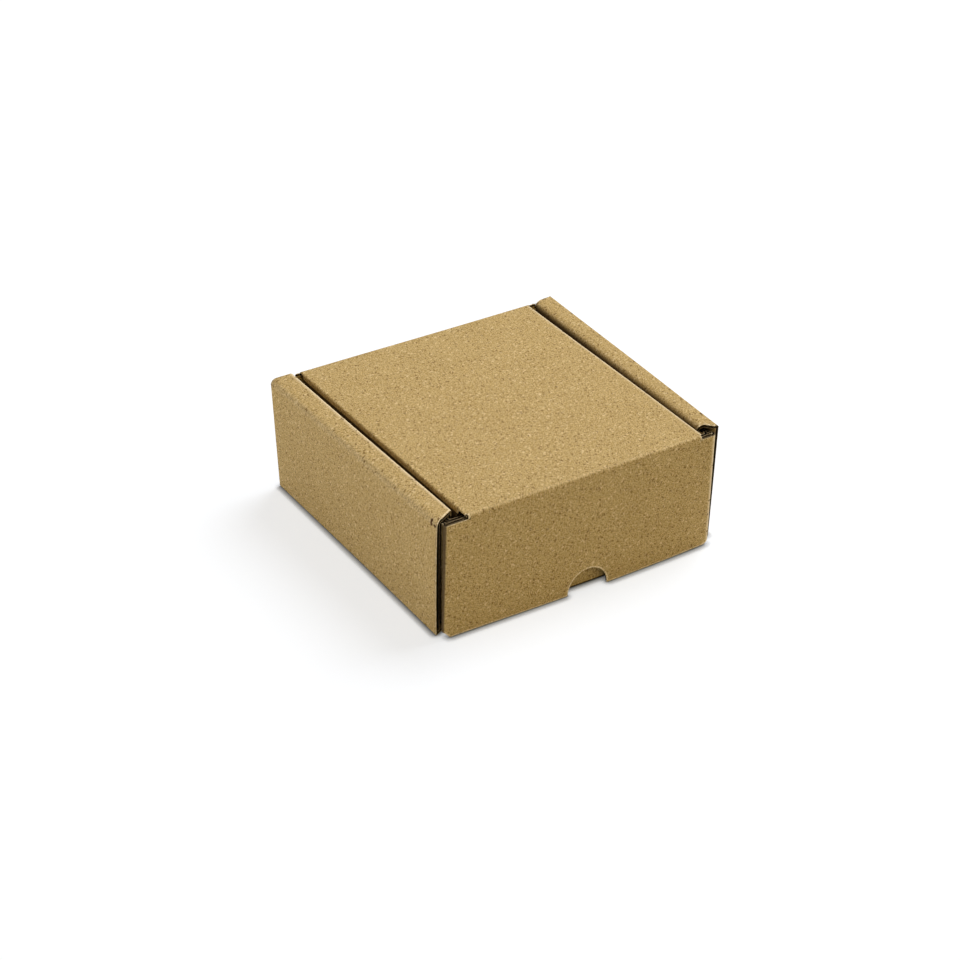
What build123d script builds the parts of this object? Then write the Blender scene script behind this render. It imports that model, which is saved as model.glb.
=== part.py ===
from build123d import *
import os

# Small mailer box, closed, folded from one die-cut sheet of fine corrugated board.
# Frame: +X to the right, +Y to the back, +Z up. The origin lies under the middle of the box,
# on the surface that it stands on. All sizes are in millimetres.

# Sheet and outer sizes
board = 1.5             # thickness of the board
crush_radius = 0.2      # inside of a plain fold
roll_radius = 0.6       # inside of the soft folds, along the rails and at the dust flaps
box_width = 115.0       # across the side walls, at the front and at the base
tray_depth = 109.0      # outer face of the front wall to outer face of the back wall
box_height = 45.5       # tops of the rails and of the lid

# Rails: outer wall, tucked ear, dust flap and inner wall, side by side
layer_gap = 0.5         # clear space between neighbouring plies
edge_setback = 0.5      # side walls end this far inside the front and back walls
rail_taper = 2.6        # set-back of the strip's inner edge at both rail ends
rail_lean = 2.2         # the rails spread outwards towards the back, at the top
foot_gap = 0.3          # inner wall's foot above the base
tab_length = 16.0       # locking tabs of the inner walls, in slots of the base
tab_spacing = 52.0      # between the middles of the two tabs of a wall
tab_recess = 0.2        # tabs end this far above the underside
slot_gap = 0.3          # clear space round a tab

# Front and back walls with their dust flaps
lid_gap = 0.9           # lid's underside above the end walls
dust_length = 34.0      # dust flap, from the wall's outer face
dust_drop = 0.6         # dust flap's upper edge below the wall's top, at its root
dust_foot = 3.5         # height of a dust flap's lower edge at its root
dust_taper = 5.0        # narrowing of a dust flap towards its end, at each edge
dust_corner = 4.0       # round corners at a dust flap's end

# Lid and its two side flaps
lid_clearance = 2.0     # lid to each inner wall
relief = 0.8            # a lid crease stops this far short of the lid's side
lid_fold_share = 0.5    # how much of each crease's fold stays with the lid
lid_flap_depth = 18.0   # side flaps reach this far below the lid's top
lid_flap_end = 4.0      # side flaps stop this far from the front and back walls
lid_flap_taper = 9.0    # slanted ends of the side flaps

# Front flap: hangs in front of the front wall, bowed outwards at its lower edge
flap_stand_top = 2.8    # outer face before the front wall's outer face, at the crease
flap_stand_foot = 3.6   # the same at the lower corners
flap_bow = 1.4          # further out at the middle of the lower edge
flap_foot = 0.6         # lower edge above the ground
shoulder_drop = 1.2     # shoulders beside the crease, below the lid's top
left_chamfer = (3.0, 3.6)    # lower left corner cut, width and height
right_chamfer = (1.8, 1.2)   # lower right corner cut
notch_radius = 8.4      # half-round thumb notch in the lower edge
notch_offset = 1.0      # its middle, right of the box's middle

# Ears at both ends of the front flap, tucked into the rails
ear_length = 25.0       # from the flap's outer face
ear_foot = 4.6          # height of the ear's lower edge
ear_clearance = 0.8     # below the rail's strip, and above the base as the flap swings
ear_drop = 6.0          # fall of the ear's upper edge towards its end
ear_corner = 6.0        # round corners at the ear's end

overrun = 5.0           # cutting shapes reach this far past what they cut

UP = (0, 0, 1)
FORWARDS = (0, -1, 0)
BACKWARDS = (0, 1, 0)

# Places that follow from those sizes
fold_radius = board + crush_radius
flap_reach = flap_stand_foot + flap_bow
back_y = (tray_depth + flap_reach) / 2
front_y = back_y - tray_depth
middle_y = (front_y + back_y) / 2
side_front = front_y + edge_setback
side_back = back_y - edge_setback

wall_face = box_width / 2
ear_face = wall_face - board - layer_gap
dust_face = ear_face - board - layer_gap
inner_back_face = dust_face - board - layer_gap
inner_face = inner_back_face - board
lid_half = inner_face - lid_clearance
crease_half = lid_half - relief
end_half = dust_face - board - roll_radius

lid_under = box_height - board
bend_z = box_height - fold_radius
shoulder_z = box_height - shoulder_drop
wall_foot = board + foot_gap
end_wall_top = lid_under - lid_gap
dust_top = end_wall_top - dust_drop

flap_top_y = front_y - flap_stand_top
flap_foot_y = front_y - flap_stand_foot
front_bend_y = flap_top_y + fold_radius
back_bend_y = back_y - fold_radius

# Angles at which the lid's creases are parted, and the line on the sheet's outer surface
# about which the front flap turns, as its Y and Z
front_parting = 90 + 90 * lid_fold_share
back_parting = 90 - 90 * lid_fold_share
crease_point = Vector(front_bend_y, bend_z) + Vector(fold_radius, 0).rotate(Axis.Z, front_parting)


def across(y):
    """Plane across the box at a depth; its own axes are X and Z."""
    return Plane(origin=(0, y, 0), x_dir=(1, 0, 0), z_dir=(0, -1, 0))


def profile(plane, corners):
    """Closed face on a plane, from corners given as (u, v, corner radius)."""
    points = [(u, v) for u, v, _ in corners]
    radii = [radius for _, _, radius in corners]
    return plane * make_face(FilletPolyline(*points, radius=radii, close=True))


def both_sides(corners):
    """Corners of a symmetric outline, from those of its right half."""
    return corners + [(-u, v, radius) for u, v, radius in reversed(corners)]


def block(x_range, y_range, z_range):
    """Box between two corners."""
    low, high = zip(x_range, y_range, z_range)
    size = [b - a for a, b in zip(low, high)]
    return Pos(*low) * Box(*size, align=(Align.MIN, Align.MIN, Align.MIN))


def bend(y, z, start_angle, end_angle, half_width):
    """Part of a fold along X, with its middle at (y, z); angles go round from the back over the top."""
    outer = CenterArc((y, z), fold_radius, start_angle, end_angle - start_angle)
    inner = CenterArc((y, z), crush_radius, start_angle, end_angle - start_angle)
    ends = [Line(outer @ 0, inner @ 0), Line(outer @ 1, inner @ 1)]
    return extrude(Plane.YZ * make_face([outer, inner, *ends]), amount=half_width, both=True)


def rail_section(y, lean):
    """Cross-section of the right rail: the sheet goes up from the base, over and down again."""
    top = wall_face + lean
    return profile(across(y), [
        (dust_face, 0, 0),
        (wall_face, 0, fold_radius),
        (top, box_height, fold_radius),
        (inner_face, box_height, roll_radius + board),
        (inner_face, wall_foot, 0),
        (inner_back_face, wall_foot, 0),
        (inner_back_face, lid_under, roll_radius),
        (top - board, lid_under, crush_radius),
        (wall_face - board, board, crush_radius),
        (dust_face, board, 0),
    ])


def rail_end_cut():
    """What the slanted front ends of the strips and inner walls lose, on both sides."""
    slope = rail_taper / (wall_face - board - inner_face)
    corners = [
        (wall_face - board, side_front, 0),
        (inner_face - overrun, side_front + rail_taper + slope * overrun, 0),
        (inner_face - overrun, side_front - overrun, 0),
        (wall_face - board, side_front - overrun, 0),
    ]
    cut = extrude(profile(Plane.XY.offset(board), corners), amount=box_height, dir=UP)
    return cut + mirror(cut, Plane.YZ)


def locking_tabs(gap, low):
    """Tabs under the inner walls, or with a gap round them the slots that hold them."""
    tabs = Part()
    for tab_y in (middle_y - tab_spacing / 2, middle_y + tab_spacing / 2):
        tab = block(
            (inner_face - gap, inner_back_face + gap),
            (tab_y - tab_length / 2 - gap, tab_y + tab_length / 2 + gap),
            (low, wall_foot),
        )
        tabs += tab + mirror(tab, Plane.YZ)
    return tabs


def end_wall(outer_y, inward):
    """Front or back wall with its dust flaps; inward is 1 at the front and -1 at the back."""
    dust_end = outer_y + inward * dust_length
    root = outer_y + inward * (board + roll_radius + layer_gap)
    plan = profile(Plane.XY.offset(fold_radius), both_sides([
        (dust_face, outer_y, board + roll_radius),
        (dust_face, dust_end, 0),
        (dust_face - board, dust_end, 0),
        (dust_face - board, outer_y + inward * board, roll_radius),
    ]))
    side = profile(Plane.YZ, [
        (outer_y - inward * overrun, 0, 0),
        (outer_y - inward * overrun, end_wall_top, 0),
        (root, end_wall_top, 0),
        (root, dust_top, 0),
        (dust_end, dust_top - dust_taper, dust_corner),
        (dust_end, dust_foot + dust_taper, dust_corner),
        (root, dust_foot, 0),
        (root, 0, 0),
    ])
    return extrude(plan, amount=box_height, dir=UP) & extrude(side, amount=box_width, both=True)


def lid_panel():
    """Lid with its side flaps folded down, between its two creases."""
    section = profile(across(front_bend_y), both_sides([
        (lid_half, box_height, fold_radius),
        (lid_half, box_height - lid_flap_depth, 0),
        (lid_half - board, box_height - lid_flap_depth, 0),
        (lid_half - board, lid_under, crush_radius),
    ]))
    flap_front = front_y + board + lid_flap_end
    flap_back = back_y - board - lid_flap_end
    side = profile(Plane.YZ, [
        (front_bend_y, box_height, 0),
        (back_bend_y, box_height, 0),
        (back_bend_y, lid_under, 0),
        (flap_back, lid_under, 0),
        (flap_back - lid_flap_taper, box_height - lid_flap_depth, 0),
        (flap_front + lid_flap_taper, box_height - lid_flap_depth, 0),
        (flap_front, lid_under, 0),
        (front_bend_y, lid_under, 0),
    ])
    panel = extrude(section, amount=back_bend_y - front_bend_y, dir=BACKWARDS)
    return panel & extrude(side, amount=box_width, both=True)


def tray():
    """Base, rails and end walls, up to halfway round the lid's back crease."""
    rail = loft([rail_section(side_front, 0), rail_section(side_back, rail_lean)], ruled=True)
    base = block((-dust_face, dust_face), (side_front, side_back), (0, board))
    sheet = base + rail + mirror(rail, Plane.YZ)
    middle = Plane(origin=(0, middle_y, 0), z_dir=BACKWARDS)
    front_cut = rail_end_cut()
    sheet -= front_cut + mirror(front_cut, middle)
    sheet -= locking_tabs(slot_gap, -overrun)
    sheet += locking_tabs(0, tab_recess)

    # The base gives way to the folds below the two end walls
    base_z = (-overrun, board)
    sheet -= block((-end_half, end_half), (side_front - overrun, front_y + fold_radius), base_z)
    sheet -= block((-end_half, end_half), (back_y - fold_radius, side_back + overrun), base_z)
    sheet += bend(front_y + fold_radius, fold_radius, 180, 270, end_half)
    sheet += bend(back_y - fold_radius, fold_radius, 270, 360, end_half)

    # Only the back wall goes on above its shoulders, into the lid's crease
    rise = block((-crease_half, crease_half), (back_y - board, back_y), (end_wall_top, bend_z))
    back_fold = bend(back_bend_y, bend_z, 0, back_parting, crease_half)
    return sheet + end_wall(front_y, 1) + end_wall(back_y, -1) + rise + back_fold


def lid():
    """Lid panel with its side flaps, from halfway round one crease to halfway round the other."""
    back_fold = bend(back_bend_y, bend_z, back_parting, 90, crease_half)
    front_fold = bend(front_bend_y, bend_z, 90, front_parting, crease_half)
    return lid_panel() + back_fold + front_fold


def flap_section(z, face_y, bow):
    """Plan of the front flap at a height: a panel between two ears that are folded back."""
    ear_end = flap_top_y + ear_length
    wires = []
    for inset, radius in ((0, fold_radius), (board, crush_radius)):
        side = ear_face - inset
        y = face_y + inset
        left_ear = Line((-side, ear_end), (-side, y + radius))
        left_fold = RadiusArc((-side, y + radius), (-side + radius, y), radius)
        right_fold = RadiusArc((side - radius, y), (side, y + radius), radius)
        right_ear = Line((side, y + radius), (side, ear_end))
        face = Line(left_fold @ 1, right_fold @ 0)
        if bow:
            face = ThreePointArc(left_fold @ 1, (0, y - bow), right_fold @ 0)
        wires.append([left_ear, left_fold, face, right_fold, right_ear])
    outside, inside = wires
    tips = [Line(outside[0] @ 0, inside[0] @ 0), Line(outside[-1] @ 1, inside[-1] @ 1)]
    return Plane.XY.offset(z) * make_face([*outside, *inside, *tips])


def ear_outline():
    """Side view of an ear: it stays inside the arc that its tip sweeps as the flap swings."""
    ear_end = flap_top_y + ear_length
    ear_top = lid_under - ear_clearance
    swing = crease_point.Y - board - ear_clearance
    outline = profile(Plane.YZ, [
        (flap_foot_y - flap_bow, ear_foot, 0),
        (ear_end, ear_foot, 0),
        (ear_end, ear_top - ear_drop, ear_corner),
        (side_front, ear_top, 0),
        (front_bend_y, shoulder_z, 0),
        (flap_foot_y - flap_bow, shoulder_z, 0),
    ])
    return outline & (Plane.YZ * Pos(crease_point.X, crease_point.Y) * Circle(swing))


def corner_cut(side, width, height):
    """Slanted cut at a lower corner of the front flap; side is -1 or 1."""
    corners = [
        (side * ear_face, flap_foot + height, 0),
        (side * (ear_face - width), flap_foot, 0),
        (side * (ear_face - width), flap_foot - overrun, 0),
        (side * (ear_face + overrun), flap_foot - overrun, 0),
        (side * (ear_face + overrun), flap_foot + height, 0),
    ]
    return extrude(profile(across(front_y), corners), amount=flap_reach + overrun, dir=FORWARDS)


def front_flap():
    """Front flap of the lid, from halfway round its crease down, with its two ears."""
    top_section = flap_section(bend_z, flap_top_y, 0)
    flap = loft([flap_section(flap_foot, flap_foot_y, flap_bow), top_section], ruled=True)
    shoulders = extrude(top_section, amount=shoulder_z - bend_z, dir=UP)
    crease_gap = (-lid_half - relief, lid_half + relief)
    flap += shoulders - block(crease_gap, (flap_top_y, front_y), (bend_z, box_height))

    ear_zone_y = (front_bend_y, front_bend_y + ear_length)
    for side in (-1, 1):
        x_range = sorted((side * (ear_face - board - layer_gap), side * wall_face))
        ear_zone = block(x_range, ear_zone_y, (0, box_height))
        flap -= ear_zone - extrude(ear_outline(), amount=box_width, both=True)

    flap -= corner_cut(-1, *left_chamfer)
    flap -= corner_cut(1, *right_chamfer)
    notch = Cylinder(notch_radius, flap_reach, rotation=(90, 0, 0))
    notch_y = front_y - flap_reach / 2
    flap -= Pos(notch_offset, notch_y, flap_foot) * notch
    return flap + bend(front_bend_y, bend_z, front_parting, 180, crease_half)


def write(node, shape):
    """Write one node as a STEP file."""
    shape.label = node
    export_step(shape, f"parts/{node}.step")


os.makedirs("parts", exist_ok=True)
write("tray", tray())
write("lid", lid())
write("front_flap", front_flap())
print("hinge point, Y and Z:", round(crease_point.X, 3), round(crease_point.Y, 3))
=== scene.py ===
"""Small mailer box of brown corrugated card, folded from one die-cut blank.

The blank's outline and creases are laid out flat, in millimetres, and folded up. The folded
sheet has a liner on each side, cut edges that show the wave of paper between the liners, and
a kraft paper finish.
"""

import logging
import math
from dataclasses import dataclass, field
from enum import Enum
from typing import Callable, Optional, Union

import bmesh
import bpy
import numpy as np
from mathutils import Matrix, Vector


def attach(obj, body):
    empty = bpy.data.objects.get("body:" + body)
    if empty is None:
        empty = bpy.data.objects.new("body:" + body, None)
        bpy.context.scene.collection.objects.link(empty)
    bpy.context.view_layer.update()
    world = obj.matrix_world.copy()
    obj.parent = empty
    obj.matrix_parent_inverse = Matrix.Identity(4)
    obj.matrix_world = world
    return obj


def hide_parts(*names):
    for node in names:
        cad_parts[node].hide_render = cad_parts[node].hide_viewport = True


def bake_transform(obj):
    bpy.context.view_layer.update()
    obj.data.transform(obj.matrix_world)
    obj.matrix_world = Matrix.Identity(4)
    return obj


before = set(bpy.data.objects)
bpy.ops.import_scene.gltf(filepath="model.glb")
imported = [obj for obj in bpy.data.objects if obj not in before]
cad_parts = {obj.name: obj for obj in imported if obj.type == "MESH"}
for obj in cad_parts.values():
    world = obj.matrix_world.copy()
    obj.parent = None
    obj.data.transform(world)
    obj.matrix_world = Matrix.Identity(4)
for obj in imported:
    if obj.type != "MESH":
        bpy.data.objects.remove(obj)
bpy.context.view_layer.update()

LOG = logging.getLogger("mailer_box")

# Metres in a millimetre, and a right angle in radians
MM = 0.001
QUARTER = math.pi / 2

# Attributes of the meshes: place on the flat sheet, and how pale a fold's crest is painted, as
# rubbed wear and as painted highlight
SHEET_PLACE = "sheet"
FOLD_WEAR_AND_HIGHLIGHT = "fold_wear_and_highlight"

# Added to the across coordinate on the sheet's inner side, so that its paper differs
INNER_SHIFT = 400.0

# Flat points nearer than this count as one
TOUCH = 1e-3

# Mean of a noise texture
NOISE_MEAN = 0.5

Colour = tuple[float, float, float]
Point = tuple[float, float]
Corner = tuple[float, float, float]
Triple = tuple[float, float, float]


class FlatAxis(Enum):
    """The two coordinates of the flat blank."""

    ACROSS = 0
    DEPTH = 1


class Face(Enum):
    """Which finish a face of the sheet takes, by its place among the mesh's materials."""

    LINER = 0
    CUT = 1
    WAVE = 2
    INNER_EDGE = 3


# Shader nodes


@dataclass(frozen=True)
class Socket:
    """A number that a material works out over the surface; sums with it add Math nodes."""

    book: "NodeBook"
    link: bpy.types.NodeSocket

    def _math(self, operation: str, first: "Number", second: "Number") -> "Socket":
        """Add one Math node.

        Args:
            operation: The node's operation.
            first: Its first value.
            second: Its second value.

        Returns:
            The node's result.
        """
        return self.book.number("ShaderNodeMath", {"operation": operation}, {0: first, 1: second})

    def __add__(self, other: "Number") -> "Socket":
        """Sum."""
        return self._math("ADD", self, other)

    __radd__ = __add__

    def __sub__(self, other: "Number") -> "Socket":
        """Difference."""
        return self._math("SUBTRACT", self, other)

    def __rsub__(self, other: "Number") -> "Socket":
        """Difference, from a plain number."""
        return self._math("SUBTRACT", other, self)

    def __mul__(self, other: "Number") -> "Socket":
        """Product."""
        return self._math("MULTIPLY", self, other)

    __rmul__ = __mul__

    def sine(self) -> "Socket":
        """Sine of an angle in radians."""
        return self._math("SINE", self, 0.0)

    def rise(self, low: "Number", high: "Number") -> "Socket":
        """Smooth step from 0 at low to 1 at high, which may be the smaller of the two.

        Args:
            low: Value that gives 0.
            high: Value that gives 1.

        Returns:
            The step.
        """
        return self.book.number(
            "ShaderNodeMapRange",
            {"interpolation_type": "SMOOTHSTEP", "clamp": True},
            {"Value": self, "From Min": low, "From Max": high},
        )


Number = Union[Socket, float]


def summed(parts: list[Socket]) -> Socket:
    """Sum of several numbers."""
    return sum(parts[1:], parts[0])


class NodeBook:
    """Nodes of one material or world."""

    NOISE_ROUGHNESS = 0.55

    def __init__(self, tree: bpy.types.NodeTree) -> None:
        """Start with an empty tree."""
        self.tree = tree
        tree.nodes.clear()

    def node(
        self,
        kind: str,
        settings: Optional[dict[str, object]] = None,
        inputs: Optional[dict[Union[int, str], object]] = None,
    ) -> bpy.types.Node:
        """Add a node.

        Args:
            kind: Type of the node.
            settings: Its properties, which are set first.
            inputs: Values or links of its sockets, by name or place.

        Returns:
            The new node.
        """
        made = self.tree.nodes.new(kind)
        for name, value in (settings or {}).items():
            setattr(made, name, value)
        for key, value in (inputs or {}).items():
            self.feed(made.inputs[key], value)
        return made

    def feed(self, socket: bpy.types.NodeSocket, value: object) -> None:
        """Link a socket or set its value.

        Args:
            socket: The socket.
            value: A link, a number, a vector, or a colour without its alpha.
        """
        if isinstance(value, Socket):
            value = value.link
        if isinstance(value, bpy.types.NodeSocket):
            self.tree.links.new(value, socket)
        elif socket.type == "RGBA":
            socket.default_value = (*value, 1.0)
        else:
            socket.default_value = value

    def number(self, kind: str, settings: dict[str, object], inputs: dict) -> Socket:
        """Add a node and take its first output as a number."""
        return Socket(self, self.node(kind, settings, inputs).outputs[0])

    def attribute(self, name: str, output: str) -> bpy.types.NodeSocket:
        """Output of a node that reads one of the mesh's own attributes."""
        return self.node("ShaderNodeAttribute", {"attribute_name": name}).outputs[output]

    def turned(
        self, place: bpy.types.NodeSocket, angle: float, scale: Point
    ) -> bpy.types.NodeSocket:
        """Turn and stretch texture coordinates.

        Args:
            place: The coordinates.
            angle: Turn about the sheet's normal, in radians.
            scale: Stretch along both coordinates after the turn.

        Returns:
            The new coordinates.
        """
        inputs = {"Vector": place, "Rotation": (0.0, 0.0, angle), "Scale": (*scale, 1.0)}
        return self.node("ShaderNodeMapping", {"vector_type": "TEXTURE"}, inputs).outputs[0]

    def noise(self, place: bpy.types.NodeSocket, scale: float, detail: float) -> Socket:
        """Cloudy noise about 0.5, with features about 1 / scale wide."""
        inputs = {0: place, "Scale": scale, "Detail": detail, "Roughness": self.NOISE_ROUGHNESS}
        return self.number("ShaderNodeTexNoise", {"normalize": True}, inputs)

    def blend(self, share: Number, first: object, second: object) -> bpy.types.NodeSocket:
        """Mix two colours.

        Args:
            share: How much there is of the second colour.
            first: A colour or a link.
            second: A colour or a link.

        Returns:
            The mixed colour.
        """
        mixed = self.node("ShaderNodeMix", {"data_type": "RGBA", "clamp_factor": True})
        sockets = {socket.identifier: socket for socket in mixed.inputs}
        values = {"Factor_Float": share, "A_Color": first, "B_Color": second}
        for name, value in values.items():
            self.feed(sockets[name], value)
        return next(socket for socket in mixed.outputs if socket.identifier == "Result_Color")


# Finishes


@dataclass(frozen=True)
class Gap:
    """A panel of the sheet that lies down in a gap, where little light reaches it; its colour takes
    painted shade.

    Attributes:
        side: 1 at the right of the sheet, or -1.
        start: Distance from the sheet's middle at which the shade begins.
        full: Distance at which it is full.
        span: Reach of the panel along the sheet.
        end: Distance from the sheet's middle at which the shade fades out.
    """

    side: int
    start: float
    full: float
    span: Point
    end: float = 1000.0

    EDGE = 0.1
    FADE = 1.0

    def shade(self, across: Socket, along: Socket) -> Socket:
        """Mask of the panel's painted shade.

        Args:
            across: The sheet's coordinate across the box.
            along: The sheet's other coordinate.

        Returns:
            The mask.
        """
        low, high = self.span
        reach = along.rise(low - self.EDGE, low) * along.rise(high + self.EDGE, high)
        beside = across * self.side
        begun = beside.rise(self.start, self.full)
        return begun * beside.rise(self.end + self.FADE, self.end) * reach


@dataclass(frozen=True)
class KraftPaper:
    """Brown kraft paper: fine grain, fibres, cloudy formation, pale and dark flecks, rubbed folds
    with painted highlights, and painted shade in gaps and nooks.

    Attributes:
        name: Name of the material.
        colour: Mean colour of the paper.
        pale: Colour of the pale fibres and flecks.
        dark: Colour of the dark fibres and flecks.
        grain: Strength of the fine grain.
        cloud: Strength of the cloudy formation.
        pale_share: How much of the pale colour shows where a pale fibre lies.
        dark_share: The same for the dark fibres.
        wear_and_highlight_share: How pale a fold's crest is painted: rubbed wear, and a painted
            highlight where the crease's rub is full.
        roughness: Mean roughness.
        flute_relief: Height of the flutes that show through the liner, in millimetres.
    """

    name: str
    colour: Colour
    pale: Colour
    dark: Colour
    grain: float = 2.3
    cloud: float = 0.2
    pale_share: float = 0.8
    dark_share: float = 0.75
    wear_and_highlight_share: float = 0.95
    roughness: float = 0.86
    flute_relief: float = 0.006

    # Grain: scale and detail of its noise, and how far red, green and blue swing with it
    FINE_NOISE = (2.4, 2.0)
    CLOUD_NOISE = (0.07, 3.0)
    GRAIN_TINT = (1.0, 1.17, 1.8)
    GRAIN_HEIGHT = 0.03
    ROUGHNESS_SWING = 0.12
    SPECULAR_LEVEL = 0.22
    BUMP_STRENGTH = 0.6

    # Fibres: directions, length and width, and the noise values at which they begin and are full
    FIBRE_ANGLES = (0.25, 1.25, 2.35)
    FIBRE_STRETCH = (1.2, 0.3)
    FIBRE_NOISE = (1.0, 1.0)
    PALE_FIBRE = (0.58, 0.72)
    DARK_FIBRE = (0.41, 0.27)
    FIBRE_HEIGHT = 0.012

    # Flecks: turn, length and width of each layer
    DARK_FLECKS = ((0.4, 1.25, 0.85), (1.9, 1.5, 0.7))
    PALE_FLECKS = ((1.1, 1.3, 0.8), (2.7, 1.8, 0.7))
    DARK_FLECK_SHARE = 0.85
    FLECK_SCALE = 0.5
    FLECK_SIZE = 0.225
    FLECK_CHANCE = (0.68, 0.95)
    FLECK_CORE = 0.55

    # Rubbed folds, whose full rubs are painted highlights, and scuffs by their place and half sizes
    # on the sheet
    RUB_AND_HIGHLIGHT_COLOUR = (0.90, 0.74, 0.48)
    SCUFFS = (
        (-99.8, -48.4, 0.7, 0.7), (-100.6, -48.2, 0.4, 0.6), (-99.9, -50.3, 0.35, 0.8),
        (101.0, -44.6, 0.5, 1.0), (101.9, -42.3, 0.3, 0.6),
    )
    SCUFF_COLOUR = (0.08, 0.032, 0.010)
    SCUFF_SHARE = 0.9
    SCUFF_RAG = 1.4
    SCUFF_EDGE = (1.15, 0.8)
    SCUFF_DEPTH = 0.12
    SCUFF_FLATTEN = 1000.0

    # Painted shade in the gaps and, by how open a place is, in the nooks
    GAP_COLOUR = (0.05, 0.03, 0.012)
    GAP_SHARE = 0.9
    NOOK_COLOUR = (0.012, 0.008, 0.005)
    NOOK_SHARE = 0.95
    NOOK_REACH = 0.004
    NOOK_SAMPLES = 16
    NOOK_OPENNESS = (0.4, 0.14)

    def material(self, flute_pitch: float, gaps: list[Gap]) -> bpy.types.Material:
        """Make the material.

        Args:
            flute_pitch: Distance between the flutes under the liner, in millimetres.
            gaps: Panels that lie down in a gap.

        Returns:
            The new material.
        """
        made = bpy.data.materials.new(self.name)
        made.use_nodes = True
        book = NodeBook(made.node_tree)
        place = book.attribute(SHEET_PLACE, "Vector")
        fine = book.noise(place, *self.FINE_NOISE)
        fibres = self.fibres(book, place)
        scuff = self.scuffs(book, place, fine)
        colour = self.paper_colour(book, place, fine, fibres)
        colour = book.blend(scuff * self.SCUFF_SHARE, colour, self.SCUFF_COLOUR)
        parts = book.node("ShaderNodeSeparateXYZ", {}, {0: place}).outputs
        across, along = Socket(book, parts[0]), Socket(book, parts[1])
        flutes = (along * (4 * QUARTER / flute_pitch)).sine() * self.flute_relief
        height = (fine - NOISE_MEAN) * self.GRAIN_HEIGHT
        height = height + (fibres[0] - fibres[1]) * self.FIBRE_HEIGHT
        height = height + flutes - scuff * self.SCUFF_DEPTH
        inputs = {"Strength": self.BUMP_STRENGTH, "Distance": MM, "Height": height}
        shader = book.node("ShaderNodeBsdfPrincipled", {}, {
            "Base Color": self.shaded(book, colour, across, along, gaps),
            "Roughness": self.roughness + (fine - NOISE_MEAN) * self.ROUGHNESS_SWING,
            "Specular IOR Level": self.SPECULAR_LEVEL,
            "Normal": book.node("ShaderNodeBump", {}, inputs).outputs[0],
        })
        book.node("ShaderNodeOutputMaterial", {}, {"Surface": shader.outputs[0]})
        return made

    def paper_colour(
        self,
        book: NodeBook,
        place: bpy.types.NodeSocket,
        fine: Socket,
        fibres: tuple[Socket, Socket],
    ) -> bpy.types.NodeSocket:
        """Colour of the paper with its grain, fibres, flecks, and rubbed folds with painted
        highlights.

        Args:
            book: The material's nodes.
            place: Coordinates on the sheet.
            fine: The paper's fine grain.
            fibres: Masks of the pale and of the dark fibres.

        Returns:
            The colour.
        """
        wear_and_highlight = Socket(book, book.attribute(FOLD_WEAR_AND_HIGHLIGHT, "Fac"))
        cloud = book.noise(place, *self.CLOUD_NOISE)
        tone = (fine - NOISE_MEAN) * self.grain + (cloud - NOISE_MEAN) * self.cloud
        swing = tuple(part * more for part, more in zip(self.colour, self.GRAIN_TINT))
        inputs = {0: swing, "Scale": tone}
        shift = book.node("ShaderNodeVectorMath", {"operation": "SCALE"}, inputs).outputs[0]
        colour = book.node("ShaderNodeVectorMath", {}, {0: self.colour, 1: shift}).outputs[0]
        dark_fleck = self.flecks(book, place, self.DARK_FLECKS)
        # Pale fold crests: rubbed wear, and a painted highlight where a crease's rub is full
        layers = (
            (fibres[0] * self.pale_share, self.pale),
            (fibres[1] * self.dark_share, self.dark),
            (wear_and_highlight * fine * (self.wear_and_highlight_share / NOISE_MEAN), self.RUB_AND_HIGHLIGHT_COLOUR),
            (self.flecks(book, place, self.PALE_FLECKS), self.pale),
            (dark_fleck * self.DARK_FLECK_SHARE, self.dark),
        )
        for share, tint in layers:
            colour = book.blend(share, colour, tint)
        return colour

    def fibres(self, book: NodeBook, place: bpy.types.NodeSocket) -> tuple[Socket, Socket]:
        """Short fibres that lie in several directions.

        Args:
            book: The material's nodes.
            place: Coordinates on the sheet.

        Returns:
            Masks of the pale and of the dark fibres.
        """
        lies = [
            book.noise(book.turned(place, angle, self.FIBRE_STRETCH), *self.FIBRE_NOISE)
            for angle in self.FIBRE_ANGLES
        ]
        pale, dark = (
            summed([lie.rise(*bounds) for lie in lies])
            for bounds in (self.PALE_FIBRE, self.DARK_FIBRE)
        )
        return pale, dark

    def flecks(
        self, book: NodeBook, place: bpy.types.NodeSocket, lies: tuple[Triple, ...]
    ) -> Socket:
        """Sparse flecks, each of its own size.

        Args:
            book: The material's nodes.
            place: Coordinates on the sheet.
            lies: Turn, length and width of each layer of flecks.

        Returns:
            Mask of the flecks.
        """
        spots = []
        for angle, long, wide in lies:
            inputs = {"Vector": book.turned(place, angle, (long, wide)), "Scale": self.FLECK_SCALE}
            cells = book.node("ShaderNodeTexVoronoi", {"voronoi_dimensions": "2D"}, inputs)
            chance = book.number("ShaderNodeSeparateColor", {}, {0: cells.outputs["Color"]})
            size = chance.rise(*self.FLECK_CHANCE) * self.FLECK_SIZE
            distance = Socket(book, cells.outputs["Distance"])
            spots.append(distance.rise(size, size * self.FLECK_CORE))
        return summed(spots)

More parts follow.
